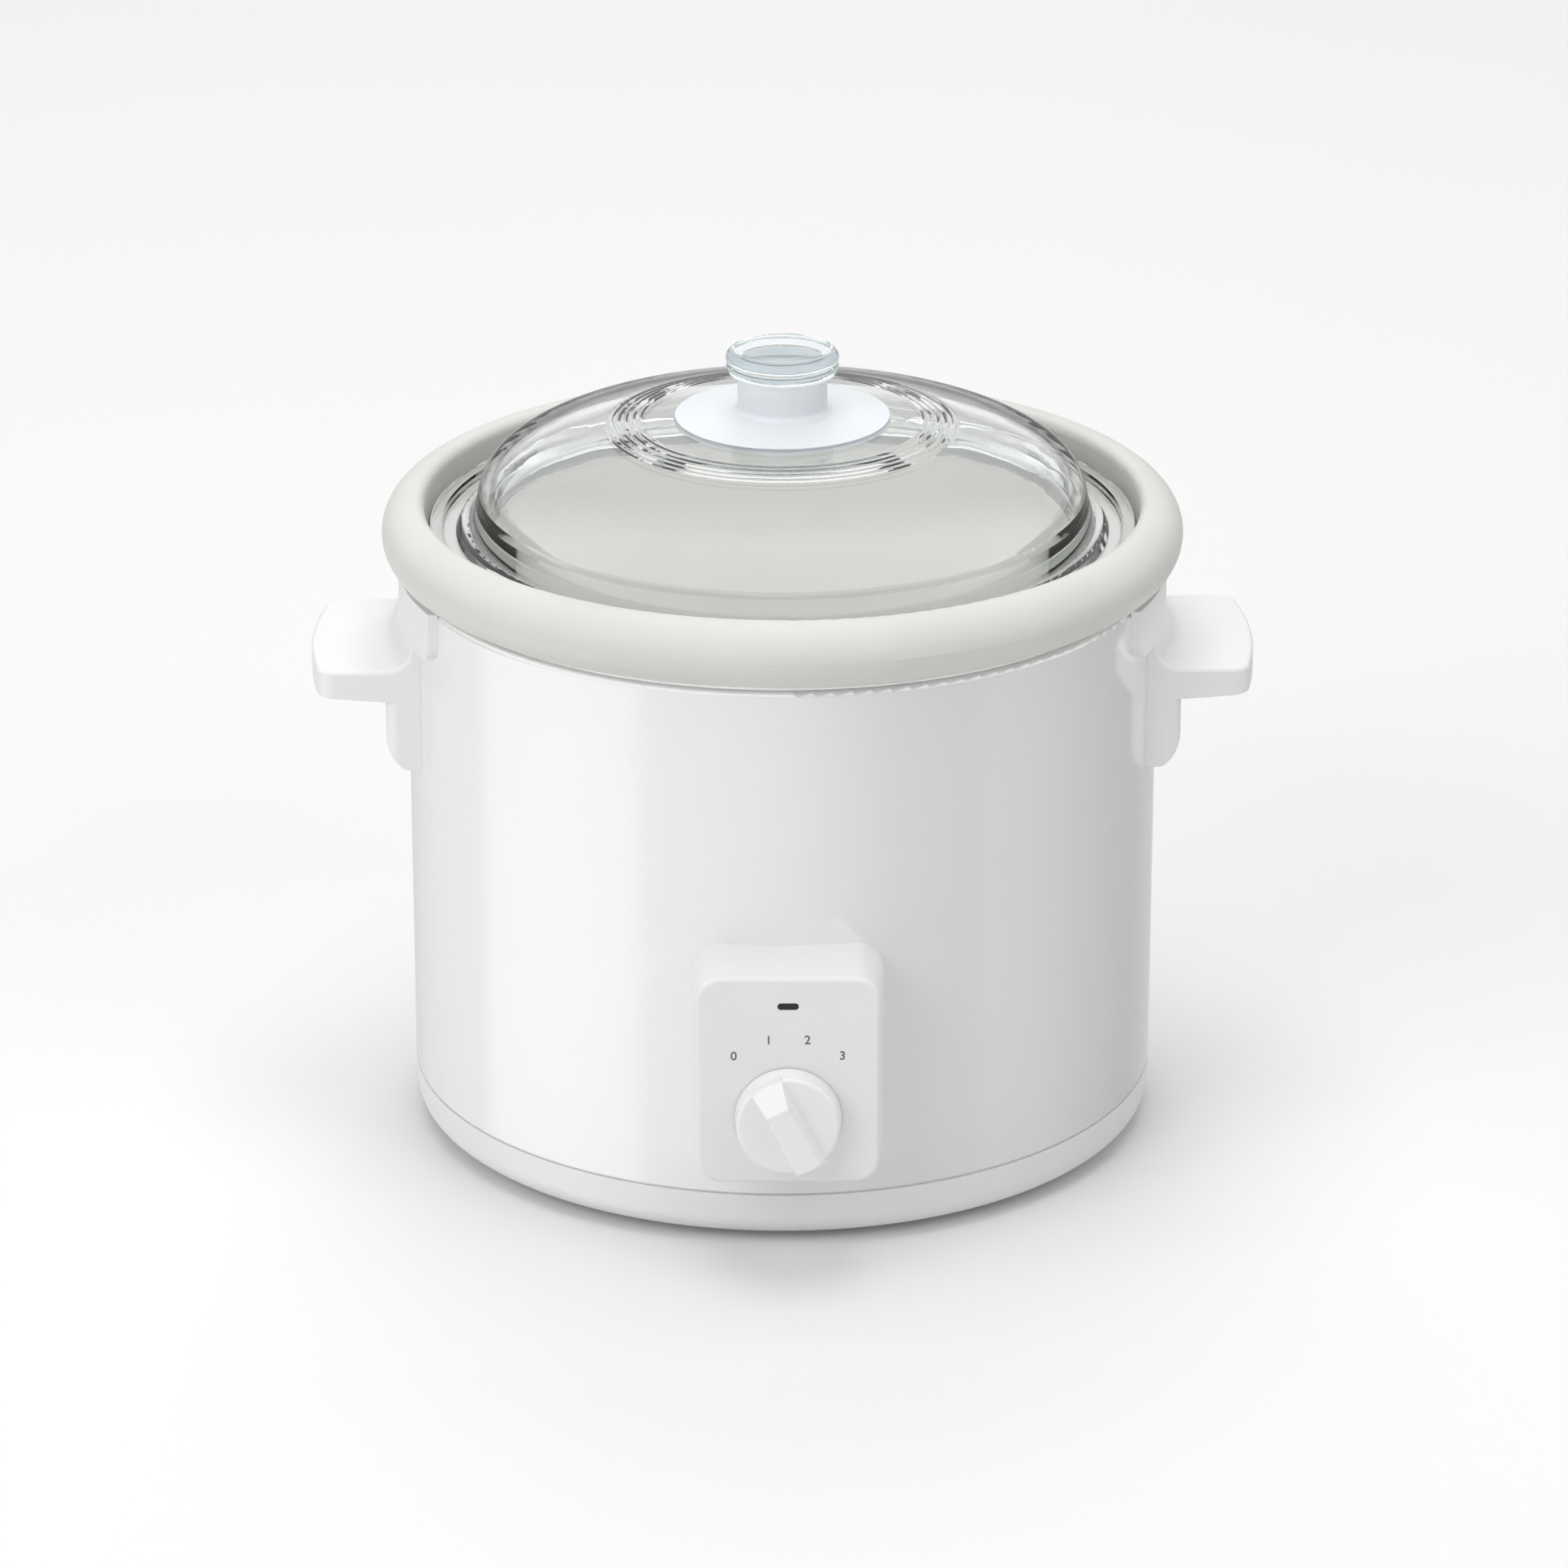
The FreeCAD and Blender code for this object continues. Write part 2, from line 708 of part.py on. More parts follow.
def handle_fixings():
    """Steel plates inside the shell and the screws that draw both handles against it."""
    inner = S["shell_r"] - S["shell_gauge"]
    thick, tall, long = 1.2, 30, 60
    screw_y, screw_z = S["handle_screw_y"], S["handle_screw_z"]
    screws = []
    for label, side, outward in (("left", -1, AGAINST_X), ("right", 1, ALONG_X)):
        ring = tube(f"backing_{label}_ring", inner, inner - thick, tall, (0, 0, screw_z - tall / 2))
        slab_low_x = min(side * 128, side * 140)
        corner = (slab_low_x, -long / 2, screw_z - tall / 2)
        slab = block(f"backing_{label}_slab", (12, long, tall), corner)
        plate = common(f"backing_{label}", ring, slab)
        for number, across in enumerate((-1, 1)):
            name = f"{label}_{number}"
            at = (110 * side, screw_y * across, screw_z)
            hole = rod(f"backing_hole_{name}", S["screw_r"], 40, at, outward)
            plate = cut(f"backing_plate_{name}", plate, hole)
            seat = (129.6 * side, screw_y * across, screw_z)
            screws.append(screw(f"handle_screw_{name}", seat, outward, 9))
        node(plate, f"handle_plate_{label}")
    node(group("handle_screws", screws), "handle_screws")


# ---------------------------------------------------------------- control panel

def rounded_box(half, low, high, radius):
    """A rectangle with rounded corners, centred across."""
    return [
        (-half + radius, low),
        (half - radius, low),
        Arc(radius, 1),
        (half, low + radius),
        (half, high - radius),
        Arc(radius, 1),
        (half - radius, high),
        (-half + radius, high),
        Arc(radius, 1),
        (-half, high - radius),
        (-half, low + radius),
        Arc(radius, 1),
    ]


def pill(x_half, z_middle, end_r):
    """A slot with round ends, each end drawn as two quarter arcs."""
    straight = x_half - end_r
    return [
        (-straight, z_middle - end_r),
        (straight, z_middle - end_r),
        Arc(end_r, 1),
        (x_half, z_middle),
        Arc(end_r, 1),
        (straight, z_middle + end_r),
        (-straight, z_middle + end_r),
        Arc(end_r, 1),
        (-x_half, z_middle),
        Arc(end_r, 1),
    ]


def control_housing():
    """The moulded box on the front of the shell that carries the switch, knob and lamp."""
    body = new_body("control_housing")
    half, low, high = S["panel_half"], S["panel_low_z"], S["panel_top_z"]
    wall, corner, face = S["panel_wall"], S["panel_corner"], S["panel_y"]
    outside = extrude(body, "XZ_Plane", face, [rounded_box(half, low, high, corner)], 45, reverse=True)
    outside.TaperAngle = S["panel_draft"].value
    bind(outside, "TaperAngle", S["panel_draft"])
    doc.recompute()
    extrude(body, "XZ_Plane", face - wall, [
        rounded_box(half - wall, low + wall, high - wall, corner - wall)
    ], 50, "Pocket")
    extrude(body, "XZ_Plane", face - wall, [
        (S["panel_screw_x"] * side, height, 4.2)
        for side in (-1, 1)
        for height in (S["panel_screw_low_z"], S["panel_screw_top_z"])
    ], 44, reverse=True)
    revolve(body, [
        (0, low - 10),
        (S["shell_r"], low - 10),
        (S["shell_r"], high + 10),
        (0, high + 10),
    ], "PartDesign::Groove")
    extrude(body, "XZ_Plane", 120, [
        (S["panel_screw_x"] * side, height, S["screw_r"])
        for side in (-1, 1)
        for height in (S["panel_screw_low_z"], S["panel_screw_top_z"])
    ], face - wall - 120 - 6, "Pocket", reverse=True)
    extrude(body, "XZ_Plane", face + 1, [
        (0, S["knob_z"], S["bush_r"] + 0.1),
        pill(S["lamp_half"], S["lamp_z"], S["lamp_end_r"]),
    ], wall + 2, "Pocket")

    def is_face_rim(edge):
        outer = all(
            abs(point.x) > half.value - 12
            or abs(point.z - low.value) < 3
            or abs(point.z - high.value) < 3
            for point in samples(edge)
        )
        return all_at(edge, "y", -face) and outer

    round_edges(body, 1.8, is_face_rim)


def panel_screws():
    """The four screws that hold the panel from inside the shell."""
    screws = []
    for side in (-1, 1):
        for level in ("low", "top"):
            x = S["panel_screw_x"] * side
            seat_y = -(S["shell_r"] - 6.4)
            z = S[f"panel_screw_{level}_z"]
            screws.append(screw(f"panel_screw_{side + 1}{level}", (x, seat_y, z), AGAINST_Y, 12))
    node(group("panel_screws", screws), "panel_screws")


def control_knob():
    """The turning knob: a capped disc with a grip across it, bored for a D-shaped shaft."""
    body = new_body("control_knob")
    edge, deep, high = S["knob_r"], S["knob_deep"], S["knob_deep"] + S["grip_height"]
    roof, hub = 2.4, 5.4
    hub_start = 2.0
    revolve(body, [
        (0, hub_start),
        (hub, hub_start),
        (hub, deep - roof),
        (edge - 2.2, deep - roof),
        (edge - 2.2, 0),
        (edge, 0),
        (edge - 0.5, deep - 1.4),
        Arc(1.4, 1),
        (edge - 1.9, deep),
        (0, deep),
    ])
    extrude(body, "XZ_Plane", 0, [[
        (-S["grip_foot"], deep - 1),
        (S["grip_foot"], deep - 1),
        (S["grip_crest"], high),
        (-S["grip_crest"], high),
    ]], 2 * edge, both=True)
    # the grip's sides end on the disc's edge
    revolve(body, [
        (edge - 1.5, deep),
        (edge + 8, deep - 2),
        (edge + 8, high + 1),
        (edge - 2.6, high + 1),
    ], "PartDesign::Groove")
    # the pointer end slopes down to the disc
    extrude(body, "YZ_Plane", 0, [[
        (8.5, high),
        (edge - 1.0, deep + 0.2),
        (edge + 3, deep + 0.2),
        (edge + 3, high + 2),
        (8.5, high + 2),
    ]], 40, "Pocket", both=True)
    flat_y = S["shaft_r"] * (2 / 3)
    flat_x = S["shaft_r"] * (math.sqrt(5) / 3)
    extrude(body, "XY_Plane", 0, [[
        (-flat_x, flat_y),
        Arc(S["shaft_r"], 1),
        (0, -S["shaft_r"]),
        Arc(S["shaft_r"], 1),
        (flat_x, flat_y),
    ]], deep - roof + 3.4, "Pocket", reverse=True)

    def is_grip_edge(rim):
        return all_at(rim, "z", high)

    round_edges(body, 0.8, is_grip_edge)
    turn = AGAINST_Y.multiply(Rotation(Vector(0, 0, 1), S["knob_rest_angle"].value))
    place(body, 0, -(S["panel_y"] + S["knob_gap"]), S["knob_z"], turn)


def switch_shaft():
    """The D-ended shaft that the knob is pushed on to."""
    body = new_body("switch_shaft")
    flat_y = S["shaft_r"] * (2 / 3)
    flat_x = S["shaft_r"] * (math.sqrt(5) / 3)
    flat_start, shaft_end, shaft_start = 1.5, 9.0, -12.0
    extrude(body, "XY_Plane", shaft_start, [(0, 0, S["shaft_r"])], flat_start - shaft_start)
    extrude(body, "XY_Plane", flat_start, [[
        (-flat_x, flat_y),
        Arc(S["shaft_r"], 1),
        (0, -S["shaft_r"]),
        Arc(S["shaft_r"], 1),
        (flat_x, flat_y),
    ]], shaft_end - flat_start - 0.1)
    turn = AGAINST_Y.multiply(Rotation(Vector(0, 0, 1), S["knob_rest_angle"].value))
    place(body, 0, -(S["panel_y"] + S["knob_gap"]), S["knob_z"], turn)


def switch_parts():
    """The rotary switch with its threaded bush, its nut and its tab terminals."""
    face, wall, z = S["panel_y"], S["panel_wall"], S["knob_z"]
    case_front = -(face - wall)
    case_deep, half_x, half_z = 16, 13, 12
    case = block("switch_case", (2 * half_x, case_deep, 2 * half_z), (-half_x, case_front, z - half_z))
    bush = rod("switch_bush", S["bush_r"], wall + 1.9, (0, case_front, z), AGAINST_Y)
    bore = rod("switch_bore", S["shaft_r"] + S["shaft_play"], 40, (0, case_front + 13, z), AGAINST_Y)
    node(cut("rotary_switch", fuse("switch_solid", case, bush), bore), "rotary_switch")
    nut = doc.addObject("Part::Prism", "switch_hexagon")
    nut.Polygon = 6
    bind(nut, "Circumradius", 7.2)
    bind(nut, "Height", 1.8)
    place(nut, 0, -face, z, AGAINST_Y)
    bore = rod("switch_nut_bore", S["bush_r"], 1.8, (0, -face, z), AGAINST_Y)
    node(cut("switch_nut", nut, bore), "switch_nut")
    tabs = []
    for across in (-9, -3, 3, 9):
        corner = (across - 0.4, case_front + case_deep, z - 2.4)
        tabs.append(block(f"tab_{across + 9}", (0.8, 5, 4.8), corner))
    node(group("switch_terminals", tabs), "switch_terminals")


def lamp_parts():
    """The smoked lamp window, the neon lamp behind it and the lamp's holder."""
    body = new_body("lamp_lens")
    face, wall = S["panel_y"], S["panel_wall"]
    end_r = S["lamp_end_r"]
    extrude(body, "XZ_Plane", face - 0.3, [pill(S["lamp_half"], S["lamp_z"], end_r)], wall, reverse=True)
    rim = 1.5
    flange = pill(S["lamp_half"] + rim, S["lamp_z"], end_r + rim)
    extrude(body, "XZ_Plane", face - wall - 1.2, [flange], 1.2)
    lens_back = -(face - wall - 1.2)
    bulb_r = 2.1
    bulb = rod("neon_tube", bulb_r, 9, (-4.5, lens_back + 0.5 + bulb_r, S["lamp_z"]), ALONG_X)
    tip = doc.addObject("Part::Sphere", "neon_tip")
    bind(tip, "Radius", bulb_r)
    place(tip, 4.5, lens_back + 0.5 + bulb_r, S["lamp_z"])
    node(fuse("neon_lamp", bulb, tip), "neon_lamp")
    shelf_z = S["lamp_z"] - bulb_r - 2
    shelf = block("lamp_shelf", (16, 8, 2), (-8, lens_back, shelf_z))
    back = block("lamp_back", (16, 2, 7), (-8, lens_back + 0.7 + 2 * bulb_r, shelf_z + 1.4))
    lugs = [block(f"lamp_lug_{x + 8}", (2, 2, 2), (x, -(face - wall), shelf_z)) for x in (-8, 6)]
    node(fuse("lamp_holder", shelf, back, *lugs), "lamp_holder")


# ---------------------------------------------------------------- heating and wiring

def heater_parts():
    """Two band heaters wrapped round the well, their clamp straps, a felt sleeve and the fuse."""
    well = S["well_r"] + S["well_gauge"]
    band = 2.4
    strap = 0.5
    for label, low, tall in (("lower", 68, 34), ("upper", 120, 34)):
        node(tube(f"{label}_band", well + band, well, tall, (0, 0, low)), f"{label}_heater_band")
        clamp_r = well + band + strap
        strap_low = low + tall / 2 - 6
        ring = tube(f"{label}_strap_ring", clamp_r, well + band, 12, (0, 0, strap_low))
        ear_a = block(f"{label}_ear_a", (6.1, 1, 12), (-clamp_r - 5.8, 3, strap_low))
        ear_b = block(f"{label}_ear_b", (6.1, 1, 12), (-clamp_r - 5.8, -4, strap_low))
        gap = block(f"{label}_gap", (12, 6, 12), (-clamp_r - 8, -3, strap_low))
        loop = fuse(f"{label}_loop", ring, ear_a, ear_b)
        node(cut(f"{label}_strap", loop, gap), f"{label}_heater_strap")
    felt_in = well + band + strap + 0.4
    node(tube("felt_sleeve", felt_in + 1.9, felt_in, 30, (0, 0, 165)), "insulation_felt")
    fuse_x, fuse_z = 0, 80
    fuse_y = well + band + strap + 2.8
    body = rod("fuse_body", 2.0, 11, (-5.5, fuse_y, fuse_z), ALONG_X)
    pin_a = rod("fuse_pin", 0.5, 27, (-13.5, fuse_y, fuse_z), ALONG_X)
    node(fuse("thermal_fuse", body, pin_a), "thermal_fuse")
    clip = tube("fuse_clip_ring", 2.8, 2.0, 5, (fuse_x - 2.5, fuse_y, fuse_z), ALONG_X)
    node(clip, "fuse_clip")


def terminal_parts():
    """The screw terminal block on the base behind the middle, and its clamp screws."""
    floor = S["base_z"] + S["base_wall"]
    long, wide, tall = 30, 14, 11
    low_y = 88
    solid = block("terminal_body", (long, wide, tall), (-long / 2, low_y, floor))
    holes = []
    screws = []
    for number, x in enumerate((-10, 0, 10)):
        for row, y in enumerate((low_y + 3.5, low_y + wide - 3.5)):
            holes.append(rod(f"terminal_hole{number}{row}", 1.8, 7, (x, y, floor + tall - 7)))
            screws.append(rod(f"terminal_screw{number}{row}", 1.8, 4, (x, y, floor + tall - 5.5)))
    node(cut("terminal_block", solid, fuse("terminal_holes", *holes)), "terminal_block")
    node(group("terminal_screws", screws), "terminal_screws")


def cord_gland():
    """The rubber bush at the rear of the base that a supply cord would pass through."""
    body = new_body("cord_gland")
    bore, neck, flange = S["gland_bore_r"], S["gland_neck_r"], S["gland_neck_r"] + 1.5
    # heights run along the cord, outwards from the inside of the base's wall
    inner_end, wall_in, wall_out, outer_end = -3.5, -0.4, 5.6, 10.5
    barb = neck + 0.6
    revolve(body, [
        (bore, inner_end),
        (neck - 0.4, inner_end),
        (barb, wall_in - 1.2),
        (barb, wall_in),
        (neck, wall_in),
        (neck, wall_out),
        (flange, wall_out),
        (flange, wall_out + 1.6),
        (neck - 0.6, outer_end),
        (bore, outer_end),
    ])
    place(body, 0, S["base_foot_r"], S["gland_z"], ALONG_Y)


def lead(label, points, radius):
    """An insulated lead: straight runs joined by tangent arcs that fit between its points."""
    points = [Vector(*point) for point in points]
    pieces = []
    here = points[0]
    for before, at, after in zip(points, points[1:], points[2:]):
        incoming = (at - before).normalize()
        outgoing = (after - at).normalize()
        turn = incoming.getAngle(outgoing)
        reach = 0.45 * min((at - before).Length, (after - at).Length)
        start = at - incoming * reach
        end = at + outgoing * reach
        towards = (outgoing - incoming).normalize()
        bend_r = reach / math.tan(turn / 2)
        middle = at + towards * (math.hypot(bend_r, reach) - bend_r)
        pieces.append(Part.LineSegment(here, start).toShape())
        pieces.append(Part.Arc(start, middle, end).toShape())
        here = end
    pieces.append(Part.LineSegment(here, points[-1]).toShape())
    path = Part.Wire(pieces)
    first = (points[1] - points[0]).normalize()
    section = Part.Wire(Part.Circle(points[0], first, radius).toShape())
    thing = doc.addObject("Part::Feature", label)
    thing.Shape = path.makePipeShell([section], True, True)
    node(thing, label)


def leads():
    """The inner wiring, from the terminal block under the shield to the switch and the heaters."""
    floor = S["base_z"].value + S["base_wall"].value
    run_z = floor + 5
    front_y = -(S["shell_r"].value - 6.5)
    tab_y = -(S["panel_y"].value - S["panel_wall"].value - 16 - 3.0)
    switch_z = S["knob_z"].value
    for label, x, tab_x in (("supply_lead", -10, -9), ("return_lead", 10, 9)):
        lead(label, [
            (x, 87.8, run_z),
            (x * 1.6, 50, run_z),
            (x * 3.4, 0, run_z),
            (x * 2.2, -60, run_z),
            (x, -100, run_z + 2),
            (x, front_y, run_z + 14),
            (x * 0.9, front_y, switch_z - 12),
            (tab_x, tab_y - 1.2, switch_z - 4.2),
        ], 1.1)


# ---------------------------------------------------------------- crock and lid

def crock():
    """The glazed stoneware crock: thick walls, a ledge for the lid and a fat rolled rim."""
    body = new_body("crock")
    roll, ring, roll_z = S["roll_r"], S["roll_ring_r"], S["roll_z"]
    ledge, wall_r = S["ledge_z"], S["ledge_wall_r"]
    floor_round, lip_round, ledge_round, rim_round = 16, 6, 1.6, 3.5
    low_in, top_in = S["crock_in_low_r"], S["crock_in_top_r"]
    revolve(body, [
        (0, S["crock_floor_z"]),
        (low_in - floor_round, S["crock_floor_z"]),
        Arc(floor_round, 1),
        (low_in, S["crock_floor_z"] + floor_round),
        (top_in, ledge - lip_round),
        Arc(lip_round, -1),
        (top_in + lip_round, ledge),
        (wall_r - ledge_round, ledge),
        Arc(ledge_round, 1),
        (wall_r, ledge + ledge_round),
        (wall_r, roll_z + roll - rim_round),
        Arc(rim_round, -1),
        (ring, roll_z + roll),
        Arc(roll, -1),
        (ring + roll, roll_z),
        Arc(roll, -1),
        (ring, roll_z - roll),
        (S["crock_out_top_r"] + 3, roll_z - roll),
        Arc(3, 1),
        (S["crock_out_top_r"], roll_z - roll - 3),
        (S["crock_out_low_r"], S["crock_foot_z"] + 18),
        Arc(15, -1),
        (S["crock_out_low_r"] - 13, S["crock_foot_z"] + 3),
        (S["crock_out_low_r"] - 14, S["crock_foot_z"]),
        (S["crock_out_low_r"] - 21, S["crock_foot_z"]),
        (S["crock_out_low_r"] - 23, S["crock_under_z"]),
        (0, S["crock_under_z"]),
    ])


def curve(radii, height):
    """A smooth curve through a height function at these radii."""
    spline = Part.BSplineCurve()
    spline.interpolate([Vector(radius, 0, height(radius)) for radius in radii])
    return spline.toShape()


def path(*points):
    """Straight edges through (radius, height) points."""
    corners = [Vector(radius, 0, height) for radius, height in points]
    return [Part.LineSegment(a, b).toShape() for a, b in zip(corners, corners[1:])]


def bow(start, middle, end):
    """An arc through three (radius, height) points."""
    return Part.Arc(*[Vector(radius, 0, height) for radius, height in (start, middle, end)]).toShape()


def dome(radius, reach, rise):
    """Height of the dome at a radius: nearly flat on top and steep at its edge."""
    flatness, fullness = 1.5, 3.65
    share = min(radius / reach, 1.0)
    flange_top = S["lid_z"].value + S["lid_flange"].value
    return flange_top + rise * (1 - share ** flatness) ** (1 / fullness)


def over_dome(radius):
    return dome(radius, S["dome_r"].value, S["dome_rise"].value)


def under_dome(radius):
    glass = S["glass"].value
    return dome(radius, S["dome_r"].value - glass, S["dome_rise"].value - glass)


def lid_underside(centre):
    """The dome's underside from the axis out, and down to the flange's foot."""
    skirt_r = S["dome_r"].value - S["glass"].value
    edge_r = skirt_r - 0.6
    radii = [centre, 20, 40, 60, 75, 88, 97, edge_r - 3, edge_r - 0.8, edge_r]
    return [curve(radii, under_dome)] + path((edge_r, under_dome(edge_r)), (skirt_r, S["lid_z"].value))


def lid_flange(foot_r):
    """The flange's rounded edge and its drip channel, out from under the dome and back to its foot."""
    low, edge = S["lid_z"].value, S["lid_r"].value
    top = low + S["lid_flange"].value
    channel_z = top - 2.7
    bead_in, bead, bead_out = 113.4, 115.2, 117.0
    edges = path((S["dome_r"].value - S["glass"].value, low), (edge - 1.2, low))
    edges.append(bow((edge - 1.2, low), (edge - 0.35, low + 0.35), (edge, low + 1.2)))
    edges += path((edge, low + 1.2), (edge, top - 1.6))
    edges.append(bow((edge, top - 1.6), (edge - 0.47, top - 0.47), (edge - 1.6, top)))
    edges += path((edge - 1.6, top), (123.4, top), (122.4, channel_z))
    edges += path((122.4, channel_z), (118.2, channel_z), (bead_out, top - 0.6))
    edges.append(bow((bead_out, top - 0.6), (bead, top + 0.25), (bead_in, top)))
    return edges + path((bead_in, top), (foot_r, over_dome(foot_r)))


def lid_top(foot_r):
    """The dome's outside, from its foot in to the step of the land, with its ring of fine ribs."""
    land, step = S["lid_land_r"].value, S["lid_step"].value
    rib_start, rib_count, rib_pitch, rib_high = 50.5, 5, 2.7, 0.3
    rib_end = rib_start + rib_count * rib_pitch
    edges = [curve([foot_r, 109.6, 107.5, 103, 95, 84, 74, rib_end], over_dome)]
    for number in range(rib_count, 0, -1):
        outer = rib_start + number * rib_pitch
        crest, inner = outer - rib_pitch / 2, outer - rib_pitch
        top = (crest, over_dome(crest) + rib_high)
        edges.append(bow((outer, over_dome(outer)), top, (inner, over_dome(inner))))
    edges.append(curve([rib_start, (rib_start + land) / 2, land], over_dome))
    return edges + path((land, over_dome(land)), (land - 0.2, over_dome(land) + step))


def lid_knob(centre):
    """The land, and the glass knob on it: a neck, a round head and a dished top."""
    land, step = S["lid_land_r"].value, S["lid_step"].value
    neck, head, summit = S["lid_neck_r"].value, S["lid_knob_r"].value, S["lid_top_z"].value
    root, middle = neck + 2.5, (land + neck + 2.3) / 2
    root_z = over_dome(root) + step
    head_z = summit - 9.8
    waist = head - 1.0
    dish = waist - 2.2
    edge = (land - 0.2, over_dome(land) + step)
    edges = [bow(edge, (middle, over_dome(middle) + step), (root, root_z))]
    edges.append(bow((root, root_z), (neck + 0.73, root_z + 0.73), (neck, root_z + 2.5)))
    edges += path((neck, root_z + 2.5), (neck, head_z))
    edges.append(bow((neck, head_z), (waist, head_z + 1.6), (head - 0.2, head_z + 3.4)))
    edges.append(bow((head - 0.2, head_z + 3.4), (head - 0.3, head_z + 4.3), (waist, head_z + 4.8)))
    edges.append(bow((waist, head_z + 4.8), (head, head_z + 6.9), (waist, summit - 0.9)))
    edges.append(bow((waist, summit - 0.9), (waist - 1.0, summit - 0.1), (dish, summit)))
    edges.append(bow((dish, summit), (dish / 2, summit - 2.0), (centre, summit - 2.6)))
    return edges + path((centre, summit - 2.6), (centre, under_dome(centre)))


def glass_lid():
    """The pressed-glass lid in one. Its dome is a free curve, so it is one turned face and no sketch."""
    centre = 0.0001
    foot_r = S["dome_r"].value - 0.25
    edges = lid_underside(centre) + lid_flange(foot_r) + lid_top(foot_r) + lid_knob(centre)
    face = Part.Face(Part.Wire(Part.__sortEdges__(edges)))
    thing = doc.addObject("Part::Feature", "glass_lid")
    thing.Shape = face.revolve(Vector(0, 0, 0), Vector(0, 0, 1), 360)
    node(thing, "glass_lid")


# ---------------------------------------------------------------- build, check and write

def build():
    outer_shell()
    heating_well()
    base_cover()
    for number in (1, 2, 3, 4):
        foot(number)
    heat_shield()
    tie_parts()
    for label, mirror in (("handle_left", -1), ("handle_right", 1)):
        soften_handle(handle(label, mirror))
    handle_fixings()
    control_housing()
    panel_screws()
    control_knob()
    switch_shaft()
    switch_parts()
    lamp_parts()
    heater_parts()
    terminal_parts()
    cord_gland()
    leads()
    crock()
    glass_lid()
    doc.recompute()


def check():
    """Stops on a failed object or an empty or broken shape."""
    for thing in doc.Objects:
        if "Invalid" in thing.State or "Error" in thing.State:
            raise RuntimeError(f"{thing.Label} failed: {thing.State}")
    for thing in NODES:
        shape = thing.Shape
        if shape.isNull() or not shape.isValid() or not shape.Solids:
            raise RuntimeError(f"{thing.Label} has no valid solid")


def write():
    os.makedirs("parts", exist_ok=True)
    for thing in NODES:
        thing.Shape.exportStep(f"parts/{thing.Label}.step")
        print(f"{thing.Label:22s} {len(thing.Shape.Solids)} {thing.Shape.Volume / 1000:9.2f} cm3")


build()
check()
write()
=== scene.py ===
import json
import math

import bpy
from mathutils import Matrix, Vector


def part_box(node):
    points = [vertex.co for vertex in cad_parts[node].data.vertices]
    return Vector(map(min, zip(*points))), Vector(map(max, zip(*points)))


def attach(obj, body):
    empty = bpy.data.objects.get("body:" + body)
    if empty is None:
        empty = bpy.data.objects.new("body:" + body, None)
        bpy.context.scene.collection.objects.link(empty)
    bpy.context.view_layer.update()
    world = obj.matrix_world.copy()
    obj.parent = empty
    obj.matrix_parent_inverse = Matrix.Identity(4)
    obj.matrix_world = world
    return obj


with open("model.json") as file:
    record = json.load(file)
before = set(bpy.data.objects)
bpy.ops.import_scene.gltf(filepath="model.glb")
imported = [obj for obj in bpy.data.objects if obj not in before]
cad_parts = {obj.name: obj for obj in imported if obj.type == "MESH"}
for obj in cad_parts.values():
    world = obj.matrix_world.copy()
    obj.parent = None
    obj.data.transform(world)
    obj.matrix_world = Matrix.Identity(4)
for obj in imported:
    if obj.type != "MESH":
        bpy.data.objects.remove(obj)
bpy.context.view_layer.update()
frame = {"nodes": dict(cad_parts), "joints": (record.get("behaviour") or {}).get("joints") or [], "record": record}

NODES = frame["nodes"]
MM = 0.001

# Places and sizes that the frame gives.
PANEL_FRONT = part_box("control_housing")[0][1]
knob_joint = next(joint for joint in frame["joints"] if joint["name"] == "knob_turn")
KNOB_CENTRE = Vector(knob_joint["pos_m"])
KNOB_SWEEP = math.radians(knob_joint["range_deg"][1])


# ---------------------------------------------------------------- node-tree helpers

def set_stops(ramp, stops, spare=0.5):
    """Gives a colour ramp its (position, colour) stops; new ones start at the spare position."""
    elements = ramp.color_ramp.elements
    while len(elements) < len(stops):
        elements.new(spare)
    for element, (position, colour) in zip(elements, stops):
        element.position = position
        element.color = (*colour, 1.0)


